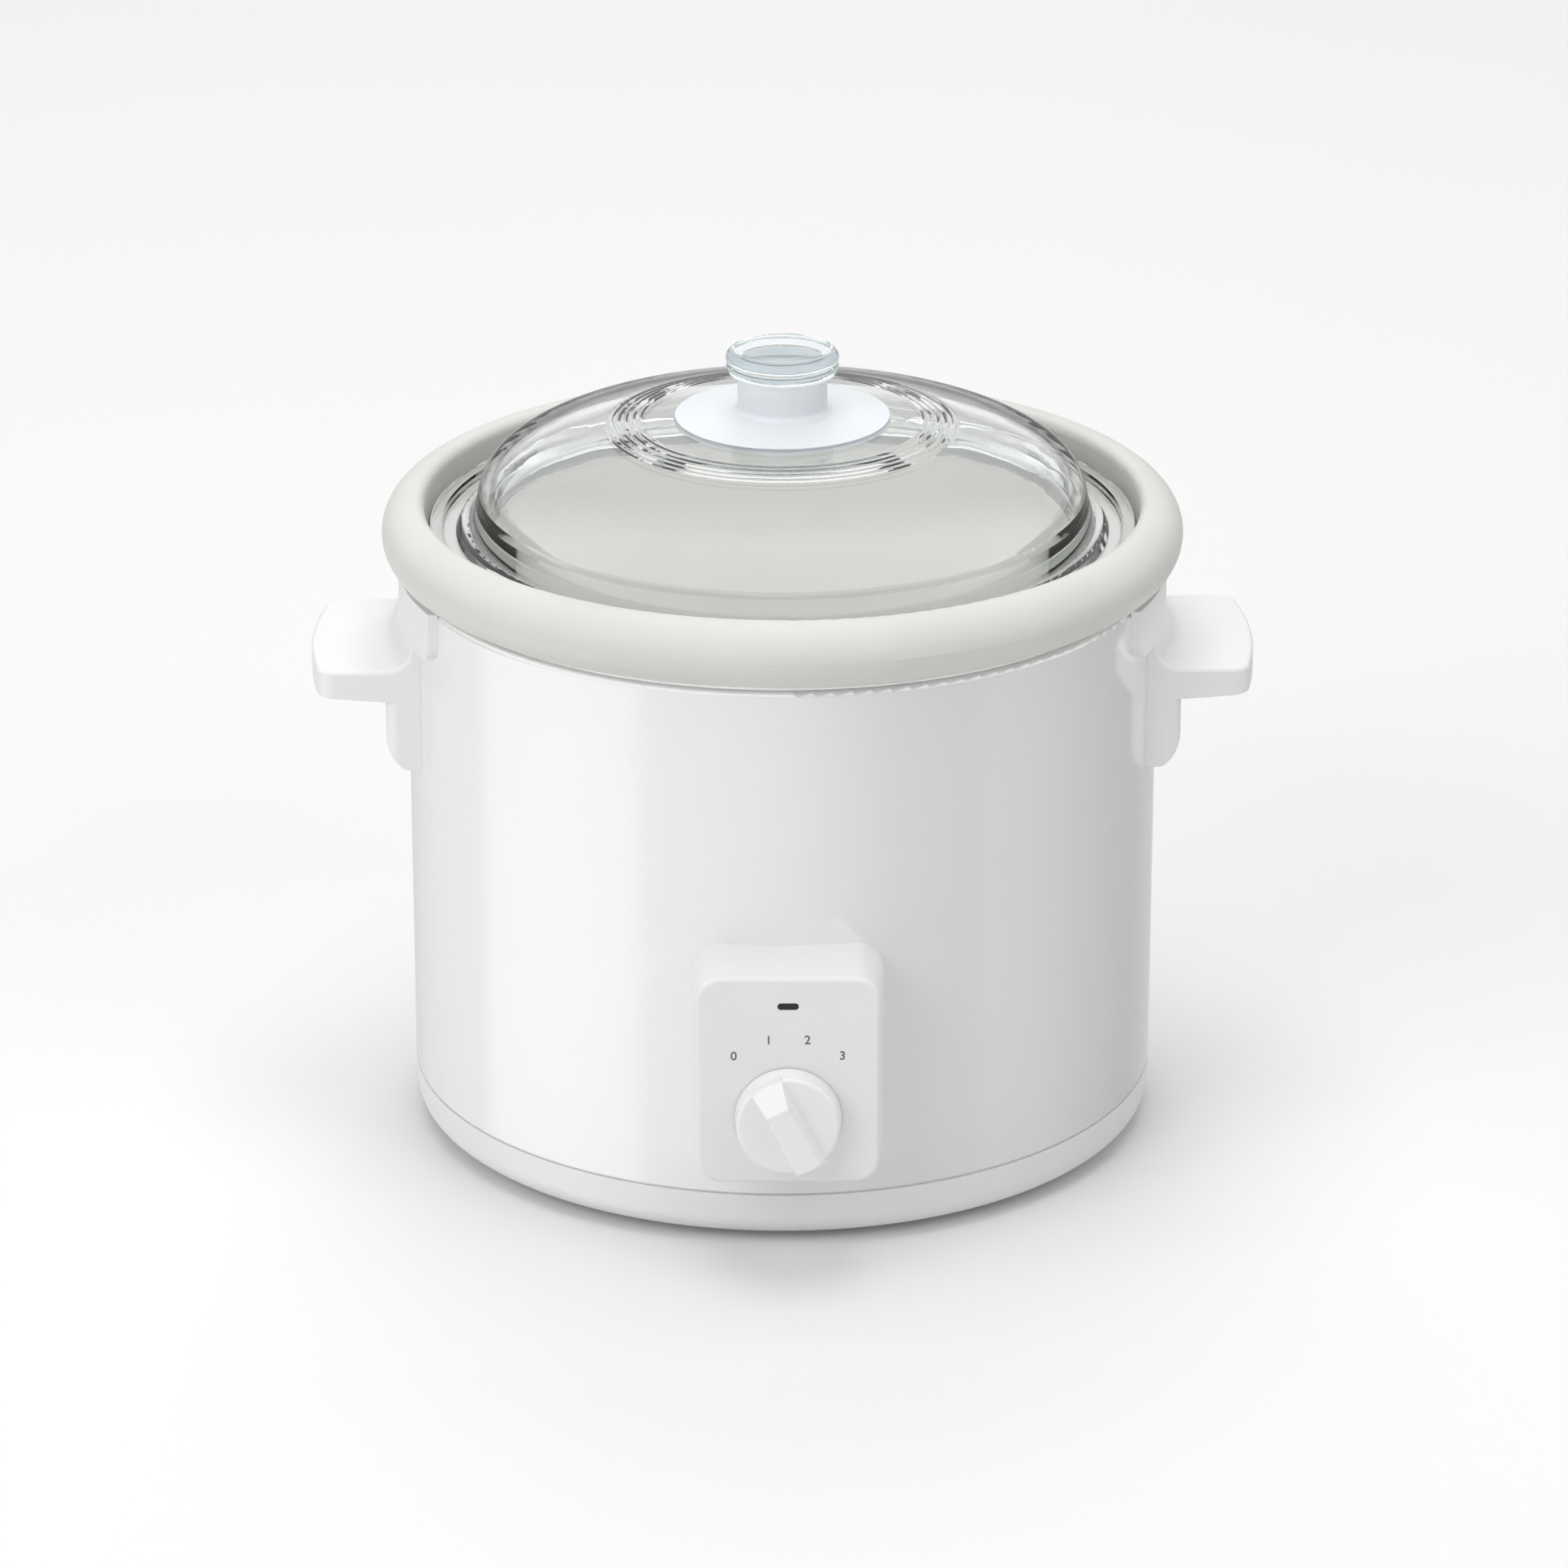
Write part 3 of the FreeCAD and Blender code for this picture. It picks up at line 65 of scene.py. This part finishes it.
class Tree:
    """A material's node tree round one Principled shader, with short ways to add and join nodes."""

    def __init__(self, name):
        self.material = bpy.data.materials.new(name)
        self.material.use_nodes = True
        self.links = self.material.node_tree.links
        self.nodes = self.material.node_tree.nodes
        self.nodes.clear()
        self.output = self.nodes.new("ShaderNodeOutputMaterial")
        self.shader = self.nodes.new("ShaderNodeBsdfPrincipled")
        self.place = self.nodes.new("ShaderNodeTexCoord")
        self.links.new(self.shader.outputs["BSDF"], self.output.inputs["Surface"])

    def set(self, **values):
        """Plain values on the shader's own sockets."""
        for key, value in values.items():
            self.shader.inputs[key.replace("_", " ")].default_value = value

    def feed(self, socket, source):
        """Joins a node's output to one of the shader's sockets."""
        self.links.new(source, self.shader.inputs[socket])

    def noise(self, scale, detail=4.0, rough=0.5, stretch=(1, 1, 1)):
        """Noise in the piece's own coordinates; scale is in features per metre."""
        mapping = self.nodes.new("ShaderNodeMapping")
        mapping.inputs["Scale"].default_value = stretch
        self.links.new(self.place.outputs["Object"], mapping.inputs["Vector"])
        node = self.nodes.new("ShaderNodeTexNoise")
        node.inputs["Scale"].default_value = scale
        node.inputs["Detail"].default_value = detail
        node.inputs["Roughness"].default_value = rough
        self.links.new(mapping.outputs["Vector"], node.inputs["Vector"])
        return node.outputs["Fac"]

    def ramp(self, source, stops):
        """A colour ramp with (position, colour) stops."""
        node = self.nodes.new("ShaderNodeValToRGB")
        set_stops(node, stops)
        self.links.new(source, node.inputs["Fac"])
        return node.outputs["Color"]

    def span(self, source, low, high, from_low=0.3, from_high=0.7):
        """Maps a value from one range to another."""
        node = self.nodes.new("ShaderNodeMapRange")
        node.inputs["From Min"].default_value = from_low
        node.inputs["From Max"].default_value = from_high
        node.inputs["To Min"].default_value = low
        node.inputs["To Max"].default_value = high
        self.links.new(source, node.inputs["Value"])
        return node.outputs["Result"]

    def math(self, operation, first, second):
        """One step of arithmetic on outputs or numbers."""
        node = self.nodes.new("ShaderNodeMath")
        node.operation = operation
        for socket, value in zip(node.inputs, (first, second)):
            if isinstance(value, (int, float)):
                socket.default_value = value
            else:
                self.links.new(value, socket)
        return node.outputs["Value"]

    def mix(self, factor, first, second):
        """Mixes two colours, each an output or a plain colour."""
        node = self.nodes.new("ShaderNodeMix")
        node.data_type = "RGBA"
        self.links.new(factor, node.inputs[0])
        for socket, value in ((node.inputs[6], first), (node.inputs[7], second)):
            if isinstance(value, tuple):
                socket.default_value = (*value, 1.0)
            else:
                self.links.new(value, socket)
        return node.outputs[2]

    def bump(self, *layers):
        """Bump from (output, depth in metres) layers, one on another."""
        last = None
        for height, depth in layers:
            node = self.nodes.new("ShaderNodeBump")
            node.inputs["Distance"].default_value = depth
            self.links.new(height, node.inputs["Height"])
            if last is not None:
                self.links.new(last, node.inputs["Normal"])
            last = node.outputs["Normal"]
        self.feed("Normal", last)

    def edges(self, radius):
        """1 along sharp edges and 0 on flats: how far a rounded normal leans off the true one."""
        rounded = self.nodes.new("ShaderNodeBevel")
        rounded.samples = 4
        rounded.inputs["Radius"].default_value = radius
        true = self.nodes.new("ShaderNodeNewGeometry")
        dot = self.nodes.new("ShaderNodeVectorMath")
        dot.operation = "DOT_PRODUCT"
        self.links.new(rounded.outputs["Normal"], dot.inputs[0])
        self.links.new(true.outputs["Normal"], dot.inputs[1])
        return self.span(dot.outputs["Value"], 1.0, 0.0, 0.85, 0.995)

    def radius_and_height(self):
        """Distance from the pot's axis and height over the table, in metres."""
        parts = self.nodes.new("ShaderNodeSeparateXYZ")
        self.links.new(self.place.outputs["Object"], parts.inputs["Vector"])
        flat = self.nodes.new("ShaderNodeCombineXYZ")
        self.links.new(parts.outputs["X"], flat.inputs["X"])
        self.links.new(parts.outputs["Y"], flat.inputs["Y"])
        length = self.nodes.new("ShaderNodeVectorMath")
        length.operation = "LENGTH"
        self.links.new(flat.outputs["Vector"], length.inputs[0])
        return length.outputs["Value"], parts.outputs["Z"]


def scaled(colour, factor):
    """A colour made lighter or darker, and no lighter than white."""
    return tuple(min(channel * factor, 1.0) for channel in colour)


# ---------------------------------------------------------------- materials

# The frosted part of the lid: within this radius, and under the glass knob's head.
LAND_RADIUS = 38.8 * MM
HEAD_HEIGHT = 281.4 * MM
# Painted light inside the crock, a lighter glaze colour that lifts the shade there: within this radius and over
# its floor, and on the ledge for the lid.
INSIDE_RADIUS = 111.5 * MM
FLOOR_HEIGHT = 56.5 * MM
LEDGE_RADIUS = 121.5 * MM
LEDGE_END = 128.0 * MM
LEDGE_HEIGHT = 212.0 * MM


def moulded_plastic(name, colour, rough, grain=12e-6):
    """Injection-moulded plastic: slight drift of tone, a fine grain and faintly scuffed edges."""
    tree = Tree(name)
    tone = tree.ramp(tree.noise(9.0, 3.0), [(0.35, scaled(colour, 0.985)), (0.65, scaled(colour, 1.01))])
    tree.feed("Base Color", tree.mix(tree.edges(0.0006), tone, scaled(colour, 0.96)))
    tree.feed("Roughness", tree.span(tree.noise(38.0, 5.0, 0.6), rough - 0.04, rough + 0.05))
    tree.bump((tree.noise(2600.0, 2.0), grain), (tree.noise(45.0, 2.0), grain * 4))
    tree.set(IOR=1.46)
    return tree.material


def stove_enamel():
    """Gloss white enamel on steel: a shallow orange peel, thinner and darker at the folded edges."""
    tree = Tree("white_enamel")
    colour = (0.80, 0.80, 0.80)
    tone = tree.ramp(tree.noise(6.0, 3.0), [(0.3, scaled(colour, 0.985)), (0.7, scaled(colour, 1.01))])
    tree.feed("Base Color", tree.mix(tree.edges(0.0005), tone, scaled(colour, 0.9)))
    tree.feed("Roughness", tree.span(tree.noise(30.0, 5.0, 0.6), 0.16, 0.24))
    tree.bump((tree.noise(420.0, 2.0), 10e-6), (tree.noise(14.0, 2.0), 120e-6))
    tree.set(IOR=1.5, Coat_Weight=1.0, Coat_Roughness=0.1, Coat_IOR=1.6)
    return tree.material


def stoneware_glaze():
    """Warm off-white glaze, pooled darker in places, with pinholes and soft ripples; painted lighter inside and on
    the ledge to lift the shade there.
    """
    tree = Tree("stoneware_glaze")
    colour = (0.65, 0.648, 0.615)
    shades = [(0.3, scaled(colour, 0.95)), (0.7, scaled(colour, 1.03))]
    cloud = tree.ramp(tree.noise(14.0, 5.0, 0.55), shades)
    specks = tree.ramp(tree.noise(900.0, 2.0), [(0.70, (0.0, 0.0, 0.0)), (0.78, (1.0, 1.0, 1.0))])
    outside = tree.mix(specks, cloud, scaled(colour, 0.88))
    radius, height = tree.radius_and_height()
    within = tree.math("LESS_THAN", radius, INSIDE_RADIUS)
    over_floor = tree.math("GREATER_THAN", height, FLOOR_HEIGHT)
    near_ledge = tree.span(radius, 1.0, 0.0, LEDGE_RADIUS, LEDGE_END)
    over_ledge = tree.math("GREATER_THAN", height, LEDGE_HEIGHT)
    ledge = tree.math("MULTIPLY", near_ledge, over_ledge)
    inside = tree.math("MAXIMUM", tree.math("MULTIPLY", within, over_floor), ledge)
    # Painted light: a lighter colour inside the crock and on its ledge, lifting the shade that falls there.
    painted_light_colour = tree.mix(specks, (0.86, 0.855, 0.825), (0.78, 0.775, 0.745))
    tree.feed("Base Color", tree.mix(inside, outside, painted_light_colour))
    tree.feed("Roughness", tree.span(tree.noise(25.0, 4.0), 0.4, 0.5))
    tree.bump((tree.noise(300.0, 3.0), 14e-6), (tree.noise(28.0, 2.0), 160e-6))
    tree.set(IOR=1.45)
    return tree.material


def pressed_glass():
    """Clear pressed glass, greenish in depth and faintly wavy, with a frosted land round its knob."""
    tree = Tree("pressed_glass")
    radius, height = tree.radius_and_height()
    on_land = tree.math("LESS_THAN", radius, LAND_RADIUS)
    below_head = tree.math("LESS_THAN", height, HEAD_HEIGHT)
    frosted = tree.math("MULTIPLY", on_land, below_head)
    clear = tree.ramp(tree.noise(8.0, 2.0), [(0.3, (0.985, 0.995, 0.99)), (0.7, (0.995, 1.0, 1.0))])
    tree.feed("Base Color", tree.mix(frosted, clear, (0.80, 0.83, 0.86)))
    tree.feed("Roughness", tree.span(frosted, 0.0, 0.4, 0.0, 1.0))
    tree.feed("Transmission Weight", tree.span(frosted, 1.0, 0.15, 0.0, 1.0))
    tree.bump((tree.noise(22.0, 2.0), 60e-6))
    tree.set(IOR=1.5)
    depth = tree.nodes.new("ShaderNodeVolumeAbsorption")
    depth.inputs["Color"].default_value = (0.55, 0.86, 0.84, 1.0)
    depth.inputs["Density"].default_value = 3.0
    tree.links.new(depth.outputs["Volume"], tree.output.inputs["Volume"])
    return tree.material


def metal(name, colour, rough, stretch=(1, 1, 1)):
    """Plated or drawn metal with a fine directional grain and dull patches."""
    tree = Tree(name)
    tone = tree.ramp(tree.noise(60.0, 4.0), [(0.3, scaled(colour, 0.9)), (0.7, scaled(colour, 1.05))])
    tree.feed("Base Color", tree.mix(tree.edges(0.0004), tone, scaled(colour, 1.15)))
    tree.feed("Roughness", tree.span(tree.noise(900.0, 3.0, 0.6, stretch), rough - 0.08, rough + 0.1))
    tree.bump((tree.noise(1400.0, 2.0, 0.5, stretch), 6e-6))
    tree.set(Metallic=1.0)
    return tree.material


def plain_matter(name, colour, rough, grain, scale=500.0, **values):
    """A dull material, such as rubber, nylon, mica or felt, with mottled tone and its own grain."""
    tree = Tree(name)
    tone = tree.ramp(tree.noise(80.0, 5.0, 0.6), [(0.3, scaled(colour, 0.82)), (0.7, scaled(colour, 1.12))])
    tree.feed("Base Color", tree.mix(tree.edges(0.0005), tone, scaled(colour, 1.2)))
    tree.feed("Roughness", tree.span(tree.noise(120.0, 4.0), rough - 0.08, rough + 0.08))
    tree.bump((tree.noise(scale, 4.0, 0.6), grain))
    tree.set(**values)
    return tree.material


def smoked_window():
    """Near-black tinted plastic over the lamp, polished, with hairline scratches."""
    tree = Tree("smoked_window")
    tints = [(0.3, (0.002, 0.002, 0.002)), (0.7, (0.005, 0.004, 0.004))]
    tree.feed("Base Color", tree.ramp(tree.noise(300.0, 3.0), tints))
    tree.feed("Roughness", tree.span(tree.noise(700.0, 4.0, 0.7, (8, 1, 1)), 0.15, 0.3))
    tree.bump((tree.noise(900.0, 2.0), 3e-6))
    tree.set(IOR=1.49)
    return tree.material


def panel_ink():
    """Grey pad-printed ink, slightly uneven."""
    tree = Tree("panel_ink")
    tints = [(0.3, (0.07, 0.07, 0.08)), (0.7, (0.12, 0.12, 0.13))]
    tree.feed("Base Color", tree.ramp(tree.noise(2500.0, 3.0), tints))
    tree.feed("Roughness", tree.span(tree.noise(1500.0, 2.0), 0.5, 0.7))
    return tree.material


STEEL = metal("zinc_steel", (0.56, 0.57, 0.58), 0.38)
MATERIALS = {
    "white_enamel": stove_enamel(),
    "well_metal": metal("drawn_aluminium", (0.74, 0.75, 0.76), 0.36, (1, 1, 30)),
    "white_plastic": moulded_plastic("white_plastic", (0.80, 0.80, 0.805), 0.34),
    "panel_plastic": moulded_plastic("panel_plastic", (0.78, 0.78, 0.785), 0.42),
    "knob_plastic": moulded_plastic("knob_plastic", (0.82, 0.82, 0.825), 0.30),
    "stoneware": stoneware_glaze(),
    "clear_glass": pressed_glass(),
    "foot_rubber": plain_matter("foot_rubber", (0.03, 0.03, 0.03), 0.75, 30e-6),
    "cord_rubber": plain_matter("cord_rubber", (0.62, 0.62, 0.62), 0.6, 20e-6),
    "steel": STEEL,
    "brass": metal("brass", (0.78, 0.6, 0.3), 0.3),
    "phenolic": plain_matter("phenolic", (0.05, 0.035, 0.03), 0.4, 10e-6),
    "smoked_lens": smoked_window(),
    "lamp_glass": plain_matter("lamp_glass", (0.9, 0.75, 0.62), 0.15, 4e-6, Transmission_Weight=0.9),
    "mica": plain_matter("mica", (0.46, 0.4, 0.3), 0.5, 30e-6, 260.0),
    "felt": plain_matter("felt", (0.7, 0.67, 0.58), 0.95, 300e-6, 380.0),
    "nylon": plain_matter("nylon", (0.74, 0.71, 0.62), 0.45, 10e-6),
    "wire_sleeve": plain_matter("wire_sleeve", (0.6, 0.6, 0.6), 0.5, 8e-6),
}

for entry in frame["record"]["subparts"]:
    part = NODES[entry["node"]]
    part.data.materials.clear()
    part.data.materials.append(MATERIALS[entry["material_slot"]])


# ---------------------------------------------------------------- dial numbers on the panel

INK = panel_ink()
INK_DEPTH = 0.02 * MM
NUMBER_HEIGHT = 3.2 * MM
# A capital's height as a share of the font's size.
CAPITAL_SHARE = 0.7
DIAL_RING = 30 * MM
# How much wider the numbers are spread than the grip turns.
DIAL_SPREAD = 1.45
DIAL_STEPS = 4


def dial_number(text, angle):
    """One printed number on the panel, at an angle clockwise from upright round the knob."""
    curve = bpy.data.curves.new(f"dial_{text}", "FONT")
    curve.body = text
    curve.size = NUMBER_HEIGHT / CAPITAL_SHARE
    curve.align_x = "CENTER"
    curve.align_y = "CENTER"
    curve.extrude = INK_DEPTH
    curve.offset = 0.06 * MM
    curve.materials.append(INK)
    number = bpy.data.objects.new(f"dial_{text}", curve)
    bpy.context.scene.collection.objects.link(number)
    number.rotation_euler = (math.radians(90), 0, 0)
    number.location = (
        KNOB_CENTRE.x + DIAL_RING * math.sin(angle),
        PANEL_FRONT - INK_DEPTH,
        KNOB_CENTRE.z + DIAL_RING * math.cos(angle),
    )
    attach(number, "housing")


for step in range(DIAL_STEPS):
    share = step / (DIAL_STEPS - 1) - 0.5
    dial_number(str(step), KNOB_SWEEP * share * DIAL_SPREAD)


# ---------------------------------------------------------------- floor, light and camera

# Brightness of the surround that shows only in the pot's gloss, by azimuth in degrees.
SURROUND = (
    (-180, 0.6), (-140, 0.8), (-104, 1.1), (-98, 1.8), (-85, 2.1), (-70, 2.4), (-47, 2.4), (-40, 1.55),
    (-20, 1.35), (0, 1.0), (15, 0.6), (32, 0.12), (58, 0.05), (63, 0.3), (82, 0.25), (102, 0.12),
    (125, 0.2), (150, 0.55), (180, 0.7),
)
# Brightness of the tent, and the share of it that is left at the tent's rear.
OVERHEAD = 2.4
BEHIND = 0.4
# Brightness of the sky by the sine of its elevation, a little dimmer round the horizon.
SKY = ((-0.16, 0.9), (-0.10, 0.65), (0.24, 0.65), (0.36, 1.0))


def pale_floor():
    """A broad, pale, matt floor."""
    tree = Tree("pale_floor")
    tints = [(0.3, (0.815, 0.815, 0.815)), (0.7, (0.82, 0.82, 0.82))]
    tree.feed("Base Color", tree.ramp(tree.noise(2.0, 2.0), tints))
    tree.set(Roughness=0.9, Specular_IOR_Level=0.0)
    size = 6.0
    mesh = bpy.data.meshes.new("floor")
    corners = [(-size, -size, 0), (size, -size, 0), (size, size, 0), (-size, size, 0)]
    mesh.from_pydata(corners, [], [(0, 1, 2, 3)])
    mesh.materials.append(tree.material)
    floor = bpy.data.objects.new("floor", mesh)
    bpy.context.scene.collection.objects.link(floor)
    floor.visible_glossy = False


def soft_light(name, azimuth, elevation, distance, size, power):
    """A square soft light that faces the pot; azimuth 0 is in front, and grows to the right."""
    turn, rise = math.radians(azimuth), math.radians(elevation)
    away = Vector((math.sin(turn) * math.cos(rise), -math.cos(turn) * math.cos(rise), math.sin(rise)))
    light = bpy.data.lights.new(name, "AREA")
    light.size = size
    light.energy = power
    lamp = bpy.data.objects.new(name, light)
    lamp.location = Vector((0, 0, 0.12)) + away * distance
    lamp.rotation_euler = (-away).to_track_quat("-Z", "Y").to_euler()
    for ray in ("camera", "glossy", "transmission"):
        setattr(lamp, f"visible_{ray}", False)
    bpy.context.scene.collection.objects.link(lamp)


def gloss_only(name, corners, faces, strength):
    """A glowing sheet that shows only in the pot's gloss. Its colour socket is returned with it."""
    mesh = bpy.data.meshes.new(name)
    mesh.from_pydata(corners, [], faces)
    glow = bpy.data.materials.new(name)
    glow.use_nodes = True
    glow.cycles.emission_sampling = "NONE"
    shader = glow.node_tree.nodes["Principled BSDF"]
    shader.inputs["Base Color"].default_value = (0, 0, 0, 1)
    shader.inputs["Specular IOR Level"].default_value = 0.0
    shader.inputs["Emission Color"].default_value = (1, 1, 1, 1)
    shader.inputs["Emission Strength"].default_value = strength
    mesh.materials.append(glow)
    card = bpy.data.objects.new(name, mesh)
    for ray in ("camera", "diffuse", "shadow", "transmission", "volume_scatter"):
        setattr(card, f"visible_{ray}", False)
    bpy.context.scene.collection.objects.link(card)
    return card, glow.node_tree, shader.inputs["Emission Color"]


def surround_card():
    """A ring round the pot, whose brightness follows SURROUND."""
    reach, low, high, steps = 1.7, -1.7, -0.1, 96
    corners = []
    for step in range(steps):
        turn = math.tau * step / steps
        right, back = reach * math.sin(turn), -reach * math.cos(turn)
        corners += [(right, back, low), (right, back, high)]
    count = len(corners)
    faces = [(n, (n + 2) % count, (n + 3) % count, n + 1) for n in range(0, count, 2)]
    brightest = max(value for _, value in SURROUND)
    _, tree, colour = gloss_only("surround_card", corners, faces, brightest)
    place = tree.nodes.new("ShaderNodeTexCoord")
    parts = tree.nodes.new("ShaderNodeSeparateXYZ")
    forward = tree.nodes.new("ShaderNodeMath")
    forward.operation = "MULTIPLY"
    forward.inputs[1].default_value = -1.0
    turn = tree.nodes.new("ShaderNodeMath")
    turn.operation = "ARCTAN2"
    share = tree.nodes.new("ShaderNodeMapRange")
    share.inputs["From Min"].default_value = -math.pi
    share.inputs["From Max"].default_value = math.pi
    ramp = tree.nodes.new("ShaderNodeValToRGB")
    stops = [((azimuth + 180) / 360, [value / brightest] * 3) for azimuth, value in SURROUND]
    set_stops(ramp, stops, 1.0)
    tree.links.new(place.outputs["Object"], parts.inputs["Vector"])
    tree.links.new(parts.outputs["Y"], forward.inputs[0])
    tree.links.new(parts.outputs["X"], turn.inputs[0])
    tree.links.new(forward.outputs["Value"], turn.inputs[1])
    tree.links.new(turn.outputs["Value"], share.inputs["Value"])
    tree.links.new(share.outputs["Result"], ramp.inputs["Fac"])
    tree.links.new(ramp.outputs["Color"], colour)


def tent():
    """A pale dome over everything, which the lid's glass mirrors and lets through.

    It comes down to the table in front, is dimmer behind, and leaves a gap over the horizon there.
    """
    reach, rings, steps = 4.5, 12, 48
    front_low, back_low = math.radians(-3), math.radians(10)
    corners = []
    for ring in range(rings):
        for step in range(steps):
            turn = math.tau * step / steps
            behind = min(max((0.2 - math.cos(turn)) / 0.5, 0.0), 1.0)
            low = front_low + (back_low - front_low) * behind
            rise = low + (math.pi / 2 - low) * ring / rings
            flat = reach * math.cos(rise)
            corners.append((flat * math.sin(turn), -flat * math.cos(turn), reach * math.sin(rise)))
    corners.append((0, 0, reach))
    faces = []
    for ring in range(rings - 1):
        near, far = ring * steps, (ring + 1) * steps
        for n in range(steps):
            beside = (n + 1) % steps
            faces.append((near + n, near + beside, far + beside, far + n))
    last, apex = (rings - 1) * steps, rings * steps
    faces += [(last + n, last + (n + 1) % steps, apex) for n in range(steps)]
    card, tree, colour = gloss_only("tent", corners, faces, OVERHEAD)
    card.visible_transmission = True
    place = tree.nodes.new("ShaderNodeTexCoord")
    parts = tree.nodes.new("ShaderNodeSeparateXYZ")
    share = tree.nodes.new("ShaderNodeMapRange")
    share.inputs["From Min"].default_value = 0.1 * reach
    share.inputs["From Max"].default_value = 0.7 * reach
    share.inputs["To Min"].default_value = 1.0
    share.inputs["To Max"].default_value = BEHIND
    tree.links.new(place.outputs["Object"], parts.inputs["Vector"])
    tree.links.new(parts.outputs["Y"], share.inputs["Value"])
    tree.links.new(share.outputs["Result"], colour)


def studio(strength):
    """Even pale surroundings, whose brightness follows SKY."""
    world = bpy.data.worlds.new("studio")
    world.use_nodes = True
    background = world.node_tree.nodes["Background"]
    place = world.node_tree.nodes.new("ShaderNodeTexCoord")
    parts = world.node_tree.nodes.new("ShaderNodeSeparateXYZ")
    ramp = world.node_tree.nodes.new("ShaderNodeValToRGB")
    span = world.node_tree.nodes.new("ShaderNodeMapRange")
    span.inputs["From Min"].default_value = -1.0
    span.inputs["From Max"].default_value = 1.0
    set_stops(ramp, [((height + 1) / 2, [value] * 3) for height, value in SKY], 1.0)
    links = world.node_tree.links
    links.new(place.outputs["Generated"], parts.inputs["Vector"])
    links.new(parts.outputs["Z"], span.inputs["Value"])
    links.new(span.outputs["Result"], ramp.inputs["Fac"])
    links.new(ramp.outputs["Color"], background.inputs["Color"])
    background.inputs["Strength"].default_value = strength
    bpy.context.scene.world = world


def photo_camera():
    """A long lens from the front and a little above, level, aimed at the pot's axis."""
    data = bpy.data.cameras.new("camera")
    data.lens = 158.4
    data.sensor_width = 36.0
    data.shift_x = 0.001
    pitch = math.radians(21.6)
    turn = math.radians(-0.7)
    distance = 2.537
    target = Vector((0, 0, 0.1233))
    back = Vector((math.sin(turn) * math.cos(pitch), -math.cos(turn) * math.cos(pitch), math.sin(pitch)))
    camera = bpy.data.objects.new("camera", data)
    camera.location = target + back * distance
    camera.rotation_euler = (-back).to_track_quat("-Z", "Y").to_euler()
    bpy.context.scene.collection.objects.link(camera)
    bpy.context.scene.camera = camera


pale_floor()
studio(0.48)
soft_light("front_left", -38, 30, 3.2, 1.6, 20.5)
soft_light("left", -65, 30, 3.2, 1.6, 12)
soft_light("right", 50, 35, 3.2, 1.6, 13.5)
soft_light("back", 180, 50, 3.6, 2.0, 28)
soft_light("top", 0, 90, 3.8, 2.6, 63)
surround_card()
tent()
photo_camera()
bpy.context.scene.view_settings.view_transform = "Standard"
